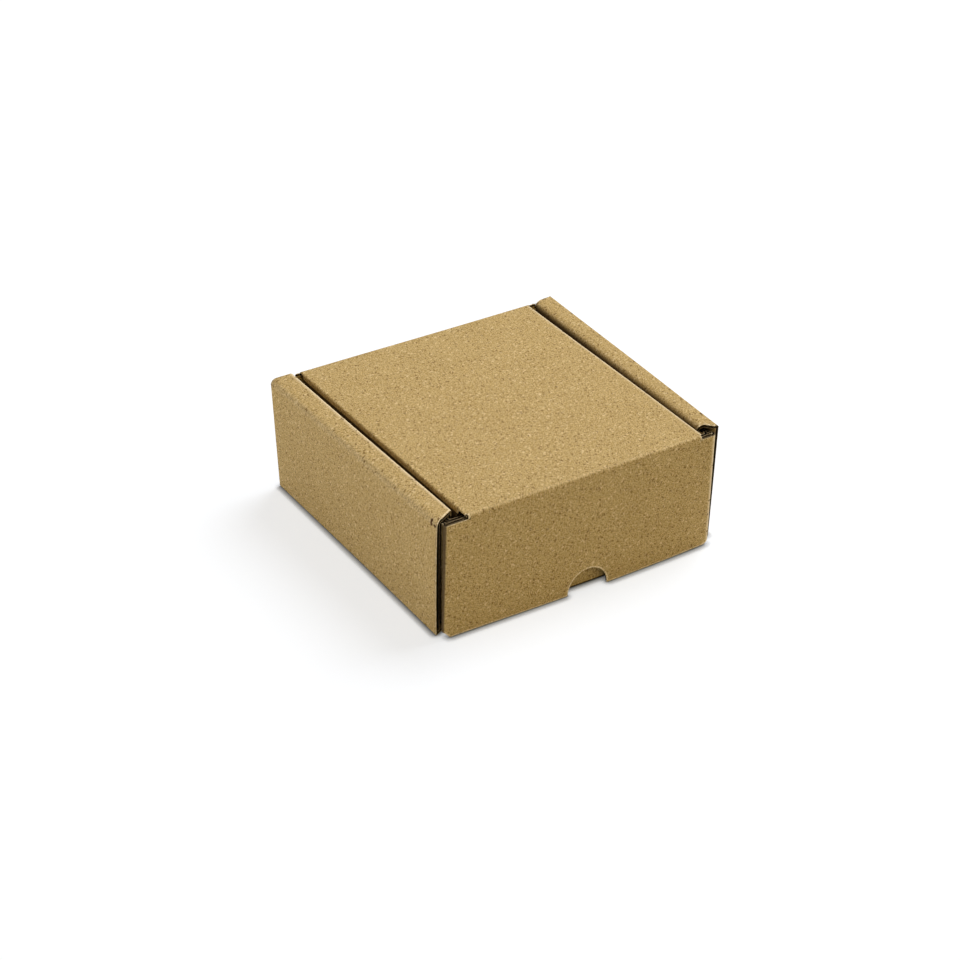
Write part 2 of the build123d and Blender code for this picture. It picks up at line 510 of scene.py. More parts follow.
    def scuffs(self, book: NodeBook, place: bpy.types.NodeSocket, fine: Socket) -> Socket:
        """Small scuffs on the rails' folds, ragged at the edge.

        Args:
            book: The material's nodes.
            place: Coordinates on the sheet.
            fine: The paper's fine grain.

        Returns:
            Mask of the scuffs.
        """
        rag = (fine - NOISE_MEAN) * self.SCUFF_RAG
        spots = []
        for u, v, half_u, half_v in self.SCUFFS:
            halves = (half_u, half_v, self.SCUFF_FLATTEN)
            inputs = {"Vector": place, "Location": (u, v, 0.0), "Scale": halves}
            near = book.node("ShaderNodeMapping", {"vector_type": "TEXTURE"}, inputs).outputs[0]
            reach = book.node("ShaderNodeVectorMath", {"operation": "LENGTH"}, {0: near})
            spots.append((Socket(book, reach.outputs["Value"]) + rag).rise(*self.SCUFF_EDGE))
        return summed(spots)

    def shaded(
        self,
        book: NodeBook,
        colour: bpy.types.NodeSocket,
        across: Socket,
        along: Socket,
        gaps: list[Gap],
    ) -> bpy.types.NodeSocket:
        """Darken a colour as painted shade: in gaps, on the sheet's outer side, and wherever it is
        closed in.

        Args:
            book: The material's nodes.
            colour: The colour.
            across: The sheet's coordinate across the box.
            along: The sheet's other coordinate.
            gaps: Panels that lie down in a gap.

        Returns:
            The darkened colour.
        """
        outer = across.rise(INNER_SHIFT / 2 + Gap.FADE, INNER_SHIFT / 2)
        gap_shade = summed([gap.shade(across, along) for gap in gaps]) * outer
        settings, inputs = {"samples": self.NOOK_SAMPLES}, {"Distance": self.NOOK_REACH}
        near = book.node("ShaderNodeAmbientOcclusion", settings, inputs)
        nook = Socket(book, near.outputs["AO"]).rise(*self.NOOK_OPENNESS)
        colour = book.blend(gap_shade * self.GAP_SHARE, colour, self.GAP_COLOUR)
        return book.blend(nook * self.NOOK_SHARE, colour, self.NOOK_COLOUR)


@dataclass(frozen=True)
class StudioFloor:
    """Pale floor that shows white to the camera and keeps the object's soft shadow.

    Attributes:
        name: Name of the material.
        colour: Colour that throws light back on the object.
        shown: Colour of the shaded part that the camera sees.
        glow: Brightness that the camera sees besides, in the open.
        nook: The same where the object stands close, which paints a contact shadow there.
        nook_reach: How far the painted contact shadow reaches, in metres.
    """

    name: str = "studio_floor"
    colour: Colour = (0.76, 0.76, 0.76)
    shown: Colour = (0.36, 0.38, 0.41)
    glow: float = 0.69
    nook: float = 0.0
    nook_reach: float = 0.0026

    NOOK_SAMPLES = 8

    def material(self) -> bpy.types.Material:
        """Make the material, whose glow only the camera and mirrors see.

        Returns:
            The new material.
        """
        made = bpy.data.materials.new(self.name)
        made.use_nodes = True
        book = NodeBook(made.node_tree)
        path = book.node("ShaderNodeLightPath").outputs
        rays = ("Is Camera Ray", "Is Glossy Ray", "Is Transmission Ray")
        seen = summed([Socket(book, path[ray]) for ray in rays])
        bounce, shown = (
            book.node("ShaderNodeBsdfDiffuse", {}, {"Color": colour}).outputs[0]
            for colour in (self.colour, self.shown)
        )
        nook, glow = (
            book.node("ShaderNodeEmission", {}, {"Strength": strength}).outputs[0]
            for strength in (self.nook, self.glow)
        )
        # Painted contact shadow: near the box, the camera's glow fades to the nook's
        settings, inputs = {"samples": self.NOOK_SAMPLES}, {"Distance": self.nook_reach}
        near = book.node("ShaderNodeAmbientOcclusion", settings, inputs)
        openness = Socket(book, near.outputs["AO"])
        inputs = {0: openness * openness * openness, 1: nook, 2: glow}
        light = book.node("ShaderNodeMixShader", {}, inputs).outputs[0]
        lit = book.node("ShaderNodeAddShader", {}, {0: shown, 1: light}).outputs[0]
        both = book.node("ShaderNodeMixShader", {}, {0: seen, 1: bounce, 2: lit})
        book.node("ShaderNodeOutputMaterial", {}, {"Surface": both.outputs[0]})
        return made


# The board and the flat blank


@dataclass(frozen=True)
class Board:
    """Fine corrugated board, in millimetres."""

    thickness: float = 1.5
    liner: float = 0.34
    wave_paper: float = 0.18
    flute_pitch: float = 3.3
    channel_depth: float = 1.4
    wave_setback: float = 0.08
    crush_width: float = 0.6
    crush_drop: float = 0.1


@dataclass(frozen=True)
class Bend:
    """Form of a fold by a right angle.

    Attributes:
        outer: Radius of its outside.
        crush: Share of the board's thickness that is crushed in its middle.
        thickness: Thickness of the board.
    """

    outer: float
    crush: float = 0.0
    thickness: float = Board.thickness

    @property
    def length(self) -> float:
        """Flat length of the curved stretch."""
        return QUARTER * (self.outer - self.thickness * (1.0 - self.crush) / 2)


@dataclass(frozen=True)
class Crease:
    """A fold of the blank; what lies beyond it turns towards the inside.

    Attributes:
        axis: The flat coordinate that changes across the fold.
        start: Where the fold begins on that coordinate.
        way: 1 where the folded panel has the larger coordinates, or -1.
        span: Reach of the fold along its line.
        bend: Its form.
        spread: Beyond this distance, the folded panel may be wider than the span.
        rub_and_highlight: How much its crest is painted pale, from 0 to 1: rubbed wear, and near 1
            a painted highlight.
    """

    axis: FlatAxis
    start: float
    way: int
    span: Point
    bend: Bend
    spread: float = math.inf
    rub_and_highlight: float = 0.15

    SLACK = 0.02
    CREST = 0.3
    CREST_HALF = 0.55

    def distance(self, flat: np.ndarray) -> np.ndarray:
        """How far flat points lie beyond the fold's beginning."""
        return self.way * (flat[:, self.axis.value] - self.start)

    def within(self, flat: np.ndarray) -> np.ndarray:
        """Whether flat points lie inside the fold's reach along its line."""
        along = flat[:, 1 - self.axis.value]
        return (along >= self.span[0] - self.SLACK) & (along <= self.span[1] + self.SLACK)

    def curve(self, flat: np.ndarray) -> np.ndarray:
        """Share of the curved stretch that lies before each point, 0 before the fold."""
        share = np.clip(self.distance(flat) / self.bend.length, 0.0, 1.0)
        return np.where(self.within(flat), share, 0.0)

    def rubbed_and_highlit(self, flat: np.ndarray) -> np.ndarray:
        """How pale the fold's crest is painted at flat points, as rubbed wear and painted
        highlight.
        """
        off = np.abs(self.distance(flat) / self.bend.length - self.CREST) / self.CREST_HALF
        return np.where(self.within(flat), self.rub_and_highlight * np.clip(1.0 - off, 0.0, 1.0), 0.0)

    def fold(self, flat: np.ndarray, points: np.ndarray) -> None:
        """Turn the points that lie beyond the fold, in place.

        Args:
            flat: Where the points lie on the flat blank.
            points: Their places so far; the third coordinate is depth below the outer liner.
        """
        distance = self.distance(flat)
        within = self.within(flat)
        share = self.curve(flat)
        moved = np.where(within, distance > 0, distance > self.spread)
        angle = QUARTER * np.where(within, share, 1.0)
        past = self.way * (points[:, self.axis.value] - self.start) - self.bend.length
        past = np.where(within & (distance <= self.bend.length), 0.0, past)
        arm = self.bend.outer - points[:, 2] * (1.0 - self.bend.crush * crest(share))
        across = arm * np.sin(angle) + past * np.cos(angle)
        height = self.bend.outer - arm * np.cos(angle) + past * np.sin(angle)
        points[moved, self.axis.value] = (self.start + self.way * across)[moved]
        points[moved, 2] = height[moved]


def smooth_step(share: np.ndarray) -> np.ndarray:
    """Smooth step from 0 to 1, for shares of any size."""
    clipped = np.clip(share, 0.0, 1.0)
    return clipped * clipped * (3.0 - 2.0 * clipped)


def crest(share: np.ndarray) -> np.ndarray:
    """Hump that is 1 at a share of one half and 0 at both ends."""
    return 4.0 * share * (1.0 - share)


def rounded(corners: list[Corner], steps: int = 6) -> list[Point]:
    """Round off the corners of an outline.

    Args:
        corners: Corners with their radii; 0 leaves a corner sharp.
        steps: Pieces of each arc.

    Returns:
        The outline's points.
    """
    outline: list[Point] = []
    for index, (u, v, radius) in enumerate(corners):
        if not radius:
            outline.append((u, v))
            continue
        here = np.array((u, v))
        back = np.array(corners[index - 1][:2]) - here
        ahead = np.array(corners[(index + 1) % len(corners)][:2]) - here
        back, ahead = back / np.linalg.norm(back), ahead / np.linalg.norm(ahead)
        half = math.acos(float(back @ ahead)) / 2
        middle = (back + ahead) / np.linalg.norm(back + ahead)
        centre = here + middle * radius / math.sin(half)
        first = here + back * radius / math.tan(half) - centre
        last = here + ahead * radius / math.tan(half) - centre
        begin = math.atan2(first[1], first[0])
        sweep = math.atan2(last[1], last[0]) - begin
        sweep = (sweep + math.pi) % (2 * math.pi) - math.pi
        for step in range(steps + 1):
            angle = begin + sweep * step / steps
            reach_u, reach_v = radius * math.cos(angle), radius * math.sin(angle)
            outline.append((centre[0] + reach_u, centre[1] + reach_v))
    return outline


def both_halves(right: list[Corner], left: list[Corner]) -> list[Corner]:
    """Whole outline from two right halves, the second of which is mirrored."""
    return right + [(-u, v, radius) for u, v, radius in reversed(left)]


@dataclass(frozen=True)
class RailForm:
    """Form of one rail.

    Attributes:
        strip: Fold between its outer wall and its top strip.
        roll: Fold between its top strip and its inner wall.
        lip_shift: How far its inner lip lies to the right, at the front and at the back.
        rub_and_highlight: How much the lip is painted pale, as rubbed wear and, at 1.0, a painted
            highlight.
        shade: Where the gap's painted shade begins and is full, beyond the lip's fold.
        front_strip: How far the strip stands back at the lip's front end.
        front_wall: How far the inner wall stands back at the front.
        back_strip: How far the strip stands back at the lip's back end.
        back_roll: How far the lip stands back there.
        back_wall: How far the inner wall stands back there.
        shoulder: How far the back wall's shoulder reaches under the lip.
    """

    strip: Bend
    roll: Bend
    lip_shift: Point
    rub_and_highlight: float
    shade: Point
    front_strip: float
    front_wall: float
    back_strip: float = 0.3
    back_roll: float = 1.2
    back_wall: float = 3.4
    shoulder: float = 1.2


@dataclass
class Blank:
    """The die-cut sheet before folding: its sizes, creases and outlines, in millimetres.

    The flat frame has its origin under the middle of the box. ACROSS runs to the box's right,
    DEPTH runs to its back and on through the back wall, the lid and the front flap.
    """

    board: Board = field(default_factory=Board)

    # Folds; the rubs, rubbed wear and at 1.0 a painted highlight, are left and right
    score: Bend = Bend(1.7)
    front_score: Bend = Bend(1.1, 0.3)
    foot: Bend = Bend(0.8, 0.5)
    corner: Bend = Bend(2.1)
    tight: Bend = Bend(0.75, 0.6)
    left_ear: Bend = Bend(0.9, 0.5)
    right_ear: Bend = Bend(1.7)
    ear_rub_and_highlight: Point = (0.1, 1.0)
    lid_flap_rub_and_highlight: Point = (0.0, 1.0)

    # Box, play between its plies, and slack of the sheet
    width: float = 115.0
    front: float = -52.0
    back: float = 57.0
    height: float = 45.5
    ply_gap: float = 0.5
    setback: float = 0.5
    slit: float = 0.1
    sag: float = 0.05

    # Rails; the left front's spread is at the foot, at the top and between them
    # The left rail's full rub is a painted highlight on its lip
    left_rail: RailForm = RailForm(
        strip=Bend(2.4), roll=Bend(1.2, 0.3), lip_shift=(0.55, -0.45), rub_and_highlight=1.0, shade=(1.3, 1.9),
        front_strip=2.4, front_wall=3.0, back_strip=0.0, back_roll=0.2, shoulder=0.3,
    )
    right_rail: RailForm = RailForm(
        strip=Bend(1.2, 0.2), roll=Bend(3.2), lip_shift=(0.2, 1.1), rub_and_highlight=0.0, shade=(-2.4, -0.6),
        front_strip=3.2, front_wall=4.2,
    )
    rail_lean: float = 2.2
    left_rail_creep: float = 0.45
    left_front_spread: Triple = (1.0, 0.6, 0.3)
    left_front_reach: float = 1.5
    foot_squeeze: float = 0.26
    squeeze_back_share: float = 0.3
    foot_gap: float = 0.3
    back_wall_drop: float = 1.0

    # Locking tabs and their slots
    tab_length: float = 16.0
    tab_spacing: float = 52.0
    tab_recess: float = 0.2
    slot_gap: float = 0.3

    # Front and back wall with their dust flaps; the lean is at the left and at the right
    front_bulge: float = 1.2
    bulge_reach: float = 14.0
    back_lean: Point = (0.05, 0.9)
    back_shoulder_drop: float = 0.4
    back_shoulder_gap: float = 0.2
    back_shoulder_hold: float = 0.59
    dust_length: float = 34.0
    dust_drop: float = 0.6
    dust_foot: float = 3.5
    dust_taper: float = 5.0
    dust_corner: float = 4.0

    # Lid with its side flaps; the slide is at the front and at the back
    lid_gap: float = 0.9
    lid_clearance: float = 1.9
    lid_slide: Point = (0.65, 0.2)
    lid_flap_depth: float = 18.0
    lid_flap_end: float = 0.8
    lid_flap_taper: float = 9.0
    lid_edge_share: float = 0.96

    # Front flap; the slip is at its top and at its foot, chamfers are as in ear_side
    flap_stand_top: float = 2.8
    flap_stand_foot: float = 3.6
    left_foot_stand: float = 1.1
    flap_bow: float = 1.4
    flap_slip: Point = (-0.7, -2.6)
    slip_onset: float = 0.12
    slip_side_share: float = 0.5
    slip_root: float = 2.2
    flap_pinch: float = 0.35
    flap_foot: float = 0.55
    shoulder_drop: float = 1.2
    relief: float = 0.8
    left_relief: float = 1.6
    relief_drop: float = 0.5
    left_chamfer: Triple = (3.2, 2.5, 0.2)
    right_chamfer: Triple = (2.4, 1.4, 1.0)
    notch_foot: float = 0.3
    notch_radius: float = 8.2
    notch_offset: float = 0.3
    notch_steps: int = 28

    # Ears
    ear_length: float = 25.0
    ear_foot: float = 3.5
    ear_clearance: float = 0.8
    ear_drop: float = 6.0
    ear_corner: float = 6.0
    ear_arc_steps: int = 6
    ear_root: float = 9.0
    ear_tuck: float = 0.4

    # Painted shade in the gaps: where it begins and is full, or how far down it begins
    lid_shade: Point = (1.3, 1.9)
    ear_shade: Point = (0.1, 0.3)
    shoulder_shade: float = 0.25
    wall_shade: float = 2.0

    # Waves of the slack sheet: length and shift of two that cross, and lengths and shift of one
    CROSS_WAVES = ((11.0, 0.7), (14.0, 1.9))
    SLANT_WAVE = (23.0, 17.0, 0.4)

    def __post_init__(self) -> None:
        """Work out where the panels lie, folded and flat."""
        ply = self.board.thickness
        self.side_front = self.front + self.setback
        self.side_back = self.back - self.setback
        self.middle = (self.front + self.back) / 2
        self.wall_face = self.width / 2
        self.ear_face = self.wall_face - ply - self.ply_gap
        self.dust_face = self.ear_face - ply - self.ply_gap
        self.inner_back = self.dust_face - ply - self.ply_gap
        self.inner_face = self.inner_back - ply
        self.lid_half = self.inner_face - self.lid_clearance
        self.crease_half = self.lid_half - self.relief
        self.end_half = self.dust_face - self.corner.outer
        self.lid_under = self.height - ply
        self.bend_z = self.height - self.score.outer
        self.front_bend_z = self.height - self.front_score.outer
        self.shoulder_z = self.height - self.shoulder_drop
        self.relief_z = self.shoulder_z - self.relief_drop
        self.wall_foot = ply + self.foot_gap
        self.end_top = self.lid_under - self.lid_gap
        self.dust_top = self.end_top - self.dust_drop
        self.flap_face = self.front - self.flap_stand_top
        self.front_bend = self.flap_face + self.front_score.outer
        self.back_bend = self.back - self.score.outer
        self.ear_front = self.flap_face + self.left_ear.outer

        self.front_start = self.front + self.foot.outer
        self.back_start = self.back - self.foot.outer
        self.lid_start = self.back_v(self.bend_z)
        self.lid_flat = self.lid_start + self.score.length
        self.flap_start = self.lid_v(self.front_bend)
        self.flap_flat = self.flap_start + self.front_score.length

        self.wall_start = self.wall_face - self.foot.outer
        self.lid_flap_start = self.lid_half - self.tight.outer
        self.lid_edge = self.lid_flap_start + self.lid_edge_share * self.tight.length

    # Flat coordinates of places on the folded panels

    def front_v(self, z: float) -> float:
        """Depth coordinate of a height on the front wall."""
        return self.front_start - self.foot.length - (z - self.foot.outer)

    def back_v(self, z: float) -> float:
        """Depth coordinate of a height on the back wall."""
        return self.back_start + self.foot.length + (z - self.foot.outer)

    def lid_v(self, y: float) -> float:
        """Depth coordinate of a place on the lid."""
        return self.lid_flat + (self.back_bend - y)

    def flap_v(self, z: float) -> float:
        """Depth coordinate of a height on the front flap."""
        return self.flap_flat + (self.front_bend_z - z)

    def strip_start(self, rail: RailForm) -> float:
        """Across coordinate of the beginning of a rail's outer fold."""
        return self.wall_start + self.foot.length + self.height - self.foot.outer - rail.strip.outer

    def roll_start(self, rail: RailForm) -> float:
        """Across coordinate of the lip's beginning on a rail's top strip."""
        strip_width = self.wall_face - rail.strip.outer - rail.roll.outer - self.inner_face
        return self.strip_start(rail) + rail.strip.length + strip_width

    def inner_u(self, rail: RailForm, z: float) -> float:
        """Across coordinate of a height on a rail's inner wall."""
        return self.roll_start(rail) + rail.roll.length + (self.height - rail.roll.outer - z)

    def dust_u(self, reach: float) -> float:
        """Across coordinate of a dust flap, by its distance from the wall's outer face."""
        return self.end_half + self.corner.length + (reach - self.corner.outer)

    def lid_flap_u(self, z: float) -> float:
        """Across coordinate of a height on the lid's side flap."""
        return self.lid_flap_start + self.tight.length + (self.height - self.tight.outer - z)

    def ear_u(self, bend: Bend, y: float) -> float:
        """Across coordinate of a place on an ear."""
        return self.ear_face - bend.outer + bend.length + (y - self.flap_face - bend.outer)

    # Creases and outlines

    def creases(self) -> list[Crease]:
        """All creases, each before those that carry its panel.

        Returns:
            The creases.
        """
        long = (self.side_front, self.side_back)
        wide = (-self.crease_half, self.crease_half)
        back_wide = (-self.lid_edge, self.lid_edge)
        ends = (-self.end_half, self.end_half)
        back_spread = self.back_shoulder_hold * self.score.length
        front_spread = self.flap_v(self.shoulder_z) - self.flap_start - self.slit
        corner_spread = (self.foot.outer - self.setback + self.foot.length) / 2
        front_dust = (self.front_v(self.height), self.front_v(self.foot.outer))
        back_dust = (self.back_v(self.foot.outer), self.back_v(self.end_top))
        lid_flap = (self.lid_flat, self.flap_start)
        ears = (self.flap_v(self.shoulder_z), self.flap_v(0))
        depth, across = FlatAxis.DEPTH, FlatAxis.ACROSS
        sides = (-1, 1)

        made = [
            Crease(across, s * (self.ear_face - bend.outer), s, ears, bend, rub_and_highlight=rub_and_highlight)
            for s, bend, rub_and_highlight in zip(sides, (self.left_ear, self.right_ear), self.ear_rub_and_highlight)
        ]
        made.append(Crease(depth, self.flap_start, 1, wide, self.front_score, front_spread))
        for s, rub_and_highlight in zip(sides, self.lid_flap_rub_and_highlight):
            made.append(Crease(across, s * self.lid_flap_start, s, lid_flap, self.tight, rub_and_highlight=rub_and_highlight))
        made.append(Crease(depth, self.lid_start, 1, back_wide, self.score, back_spread))
        for span in (front_dust, back_dust):
            made += [Crease(across, s * self.end_half, s, span, self.corner) for s in sides]
        for s, rail in zip(sides, (self.left_rail, self.right_rail)):
            made.append(Crease(across, s * self.roll_start(rail), s, long, rail.roll, rub_and_highlight=rail.rub_and_highlight))
            made.append(Crease(across, s * self.strip_start(rail), s, long, rail.strip))
            made.append(Crease(across, s * self.wall_start, s, long, self.foot))
        made.append(Crease(depth, self.front_start, -1, ends, self.foot, corner_spread))
        made.append(Crease(depth, self.back_start, 1, ends, self.foot, corner_spread))
        return made

    def dust_flap(self, v_of_z: Callable[[float], float]) -> list[Corner]:
        """Right dust flap's outline, from the wall's top to its foot.

        Args:
            v_of_z: Gives the depth coordinate of a height on the wall.

        Returns:
            The outline's corners.
        """
        root = self.dust_u(self.corner.outer + self.ply_gap)
        end = self.dust_u(self.dust_length)
        return [
            (root, v_of_z(self.end_top), 0),
            (root, v_of_z(self.dust_top), 0),
            (end, v_of_z(self.dust_top - self.dust_taper), self.dust_corner),
            (end, v_of_z(self.dust_foot + self.dust_taper), self.dust_corner),
            (root, v_of_z(self.dust_foot), 0),
            (root, v_of_z(self.foot.outer), 0),
            (self.end_half, v_of_z(self.foot.outer), 0),
        ]

    def tab_middles(self) -> Point:
        """Places of the two locking tabs along a rail."""
        return self.middle - self.tab_spacing / 2, self.middle + self.tab_spacing / 2

    def rail_outline(self, rail: RailForm) -> list[Corner]:
        """Rail's outline at the right, from the front to the back.

        Args:
            rail: Its form.

        Returns:
            The outline's corners.
        """
        near, far = self.side_front, self.side_back
        strip = self.strip_start(rail) + rail.strip.length
        lip = self.roll_start(rail)
        wall = lip + rail.roll.length
        foot = self.inner_u(rail, self.wall_foot)
        tab = self.inner_u(rail, self.tab_recess)
        corners = [
            (self.end_half, self.front_start, 0),
            (self.end_half + self.slit, self.front_start, 0),
            (self.end_half + self.slit, near, 0),
            (strip, near, 0),
            (lip, near + rail.front_strip, 0),
            (wall, near + rail.front_wall, 0),
            (foot, near + rail.front_wall, 0),
        ]
        for tab_middle in self.tab_middles():
            low, high = tab_middle - self.tab_length / 2, tab_middle + self.tab_length / 2
            corners += [(foot, low, 0), (tab, low, 0), (tab, high, 0), (foot, high, 0)]
        return corners + [
            (foot, far - rail.back_wall, 0),
            (self.inner_u(rail, self.dust_top - self.back_wall_drop), far - rail.back_wall, 0),
            (wall, far - rail.back_roll, 0),
            (lip, far - rail.back_strip, 0),
            (strip, far, 0),
            (self.end_half + self.slit, far, 0),
            (self.end_half + self.slit, self.back_start, 0),
            (self.end_half, self.back_start, 0),
        ]

    def lid_side(self, rail: RailForm) -> list[Corner]:
        """Right side of the lid with its side flap, from the back crease to the front one.

        Args:
            rail: The rail beside it.

        Returns:
            The outline's corners.
        """
        edge = self.lid_edge
        low = self.lid_flap_u(self.height - self.lid_flap_depth)
        back_end = self.back - self.board.thickness - self.lid_flap_end
        front_end = self.front + self.board.thickness + self.lid_flap_end
        shoulder = self.back_v(self.height - self.back_shoulder_drop)
        outside = self.inner_face + rail.shoulder
        lip_foot = self.inner_face - self.back_shoulder_gap
        inside = edge + self.back_shoulder_gap
        return [
            (lip_foot, self.back_v(self.end_top), 0),
            (outside, shoulder, 0),
            (inside, shoulder, 0),
            (inside, self.back_v(self.end_top), 0),
            (edge, self.back_v(self.end_top), 0),
            (edge, self.lid_v(back_end), 0),
            (low, self.lid_v(back_end - self.lid_flap_taper), 0),
            (low, self.lid_v(front_end + self.lid_flap_taper), 0),
            (edge, self.lid_v(front_end), 0),
            (edge, self.flap_start, 0),
            (self.crease_half, self.flap_start, 0),
        ]

    def carton_outline(self) -> list[Point]:
        """Outline of tray and lid, up to the front crease.

        Returns:
            The outline's points.
        """
        front_dust = self.dust_flap(self.front_v)
        back_dust = list(reversed(self.dust_flap(self.back_v)))
        right, left = (
            front_dust + self.rail_outline(rail) + back_dust + self.lid_side(rail)
            for rail in (self.right_rail, self.left_rail)
        )
        return rounded(both_halves(right, left))

    def slots(self) -> list[list[Point]]:
        """Slots in the base that hold the locking tabs.

        Returns:
            The outline of each.
        """
        made = []
        reach = self.tab_length / 2 + self.slot_gap
        for side in (-1, 1):
            near = side * (self.inner_face - self.slot_gap)
            far = side * (self.inner_back + self.slot_gap)
            for tab_middle in self.tab_middles():
                low, high = tab_middle - reach, tab_middle + reach
                made.append([(near, low), (far, low), (far, high), (near, high)])
        return made

    def ear_side(self, bend: Bend, chamfer: Triple, relief: float) -> list[Corner]:
        """Right side of the front flap with its ear, from the crease to the lower edge.

        Args:
            bend: Form of the ear's fold.
            chamfer: Width and height of the lower corner's cut, and where on the fold it begins.
            relief: Width of the notch at the end of the crease.

        Returns:
            The outline's corners.
        """
        ear_start = self.ear_face - bend.outer
        ear_flat = ear_start + bend.length
        ear_end = self.flap_face + self.ear_length
        ear_top = self.lid_under - self.ear_clearance
        turn_y = self.front_bend - self.front_score.outer * math.cos(QUARTER / 2)
        turn_z = self.front_bend_z + self.front_score.outer * math.sin(QUARTER / 2)
        swing = turn_z - self.board.thickness - self.ear_clearance
        begin = math.acos((ear_end - turn_y) / swing)
        finish = math.asin((turn_z - self.ear_foot) / swing)
        corners = [
            (self.crease_half, self.flap_flat, 0),
            (self.crease_half, self.flap_v(self.relief_z), 0),
            (self.crease_half + relief, self.flap_v(self.relief_z), 0),
            (self.crease_half + relief, self.flap_v(self.shoulder_z), 0),
            (ear_flat, self.flap_v(self.shoulder_z), 0),
            (self.ear_u(bend, self.side_front), self.flap_v(ear_top), 0),
            (self.ear_u(bend, ear_end), self.flap_v(ear_top - self.ear_drop), self.ear_corner),
        ]
        for step in range(self.ear_arc_steps + 1):
            angle = begin + (finish - begin) * step / self.ear_arc_steps
            place = self.ear_u(bend, turn_y + swing * math.cos(angle))
            corners.append((place, self.flap_v(turn_z - swing * math.sin(angle)), 0))
        width, height, share = chamfer
        return corners + [
            (ear_flat, self.flap_v(self.ear_foot), 0),
            (ear_start + share * bend.length, self.flap_v(self.flap_foot + height), 0),
            (self.ear_face - width, self.flap_v(self.flap_foot), 0),
        ]

    def flap_outline(self) -> list[Point]:
        """Outline of the front flap with its ears and thumb notch.

        Returns:
            The outline's points.
        """
        foot = self.flap_v(self.notch_foot)
        middle = self.notch_offset - self.flap_slip[1]
        notch = []
        for step in range(self.notch_steps + 1):
            angle = math.pi * step / self.notch_steps
            reach_u = self.notch_radius * math.cos(angle)
            notch.append((middle + reach_u, foot - self.notch_radius * math.sin(angle), 0))
        right = self.ear_side(self.right_ear, self.right_chamfer, self.slit)
        left = self.ear_side(self.left_ear, self.left_chamfer, self.left_relief)
        return rounded(both_halves(right + notch, left))

    def crease_outline(self) -> list[Point]:
        """Outline of the curved stretch between lid and front flap."""
        half, begin, end = self.crease_half, self.flap_start, self.flap_flat
        return [(half, begin), (half, end), (-half, end), (-half, begin)]

    # Folding

    def unevenness(self, flat: np.ndarray) -> np.ndarray:
        """How far the sheet lies inside its flat panels, in gentle waves of its own.

        Args:
            flat: Points on the flat blank.

        Returns:
            A depth for each.
        """
        u, v = flat[:, 0], flat[:, 1]
        (length_u, shift_u), (length_v, shift_v) = self.CROSS_WAVES
        slant_u, slant_v, slant_shift = self.SLANT_WAVE
        waves = np.sin(u / length_u + shift_u) * np.sin(v / length_v + shift_v)
        waves += np.sin(u / slant_u - v / slant_v + slant_shift)
        return self.sag * (2.0 + waves)

    def folded(self, flat: np.ndarray, depth: np.ndarray) -> np.ndarray:
        """Fold points of the blank up into the box.

        Args:
            flat: Their places on the flat blank.
            depth: Their depths below the outer liner's face.

        Returns:
            Their places on the box, in metres.
        """
        points = np.column_stack((flat, depth + self.unevenness(flat)))
        for crease in self.creases():
            crease.fold(flat, points)
        self.lean_rails(flat, points)
        self.lean_back(flat, points)
        self.spread_left_front(points)
        self.bulge_front(flat, points)
        self.squeeze_foot(flat, points)
        self.bow_flap(flat, points)
        return points * MM

    def joined(self, flat: np.ndarray) -> np.ndarray:
        """Find the lines where two pieces of the one sheet meet.

        Args:
            flat: Points on the flat blank.

        Returns:
            Whether each lies on such a line.
        """
        near_lid = np.abs(flat[:, 1] - self.flap_start) < TOUCH
        near_flap = np.abs(flat[:, 1] - self.flap_flat) < TOUCH
        return (near_lid | near_flap) & (np.abs(flat[:, 0]) < self.crease_half + TOUCH)

    def backness(self, points: np.ndarray) -> np.ndarray:
        """Places from the rails' front ends to their back ends, as shares."""
        return (points[:, 1] - self.side_front) / (self.side_back - self.side_front)

    def lean_rails(self, flat: np.ndarray, points: np.ndarray) -> None:
        """Spread the rails outwards towards the back, at the top, and shift their lips.

        Args:
            flat: Where the points lie on the flat blank.
            points: Their places so far, which are changed.
        """
        u, v = flat.T
        half = self.middle - self.side_front + self.slit
        of_rail = (np.abs(u) > self.wall_start) & (np.abs(v - self.middle) < half)
        x, _, z = points.T
        backness = self.backness(points)
        outness = (np.abs(x) - self.inner_back) / (self.ear_face + self.ply_gap - self.inner_back)
        outness = np.clip(outness, 0.0, 1.0)
        left_front, left_back = self.left_rail.lip_shift
        right_front, right_back = self.right_rail.lip_shift
        front = np.where(x < 0, left_front, right_front)
        back = np.where(x < 0, left_back, right_back)
        lean = np.sign(x) * self.rail_lean * backness * outness
        lean += (front + (back - front) * backness) * (1.0 - outness)
        beside = smooth_step((np.abs(x) - self.crease_half) / (self.inner_face - self.crease_half))
        share = np.where(of_rail, 1.0, np.where(v < self.lid_start, beside, 0.0))
        points[:, 1] += np.where(of_rail & (x < 0), self.left_rail_creep * backness, 0.0)
        points[:, 0] += lean * share * z / self.height

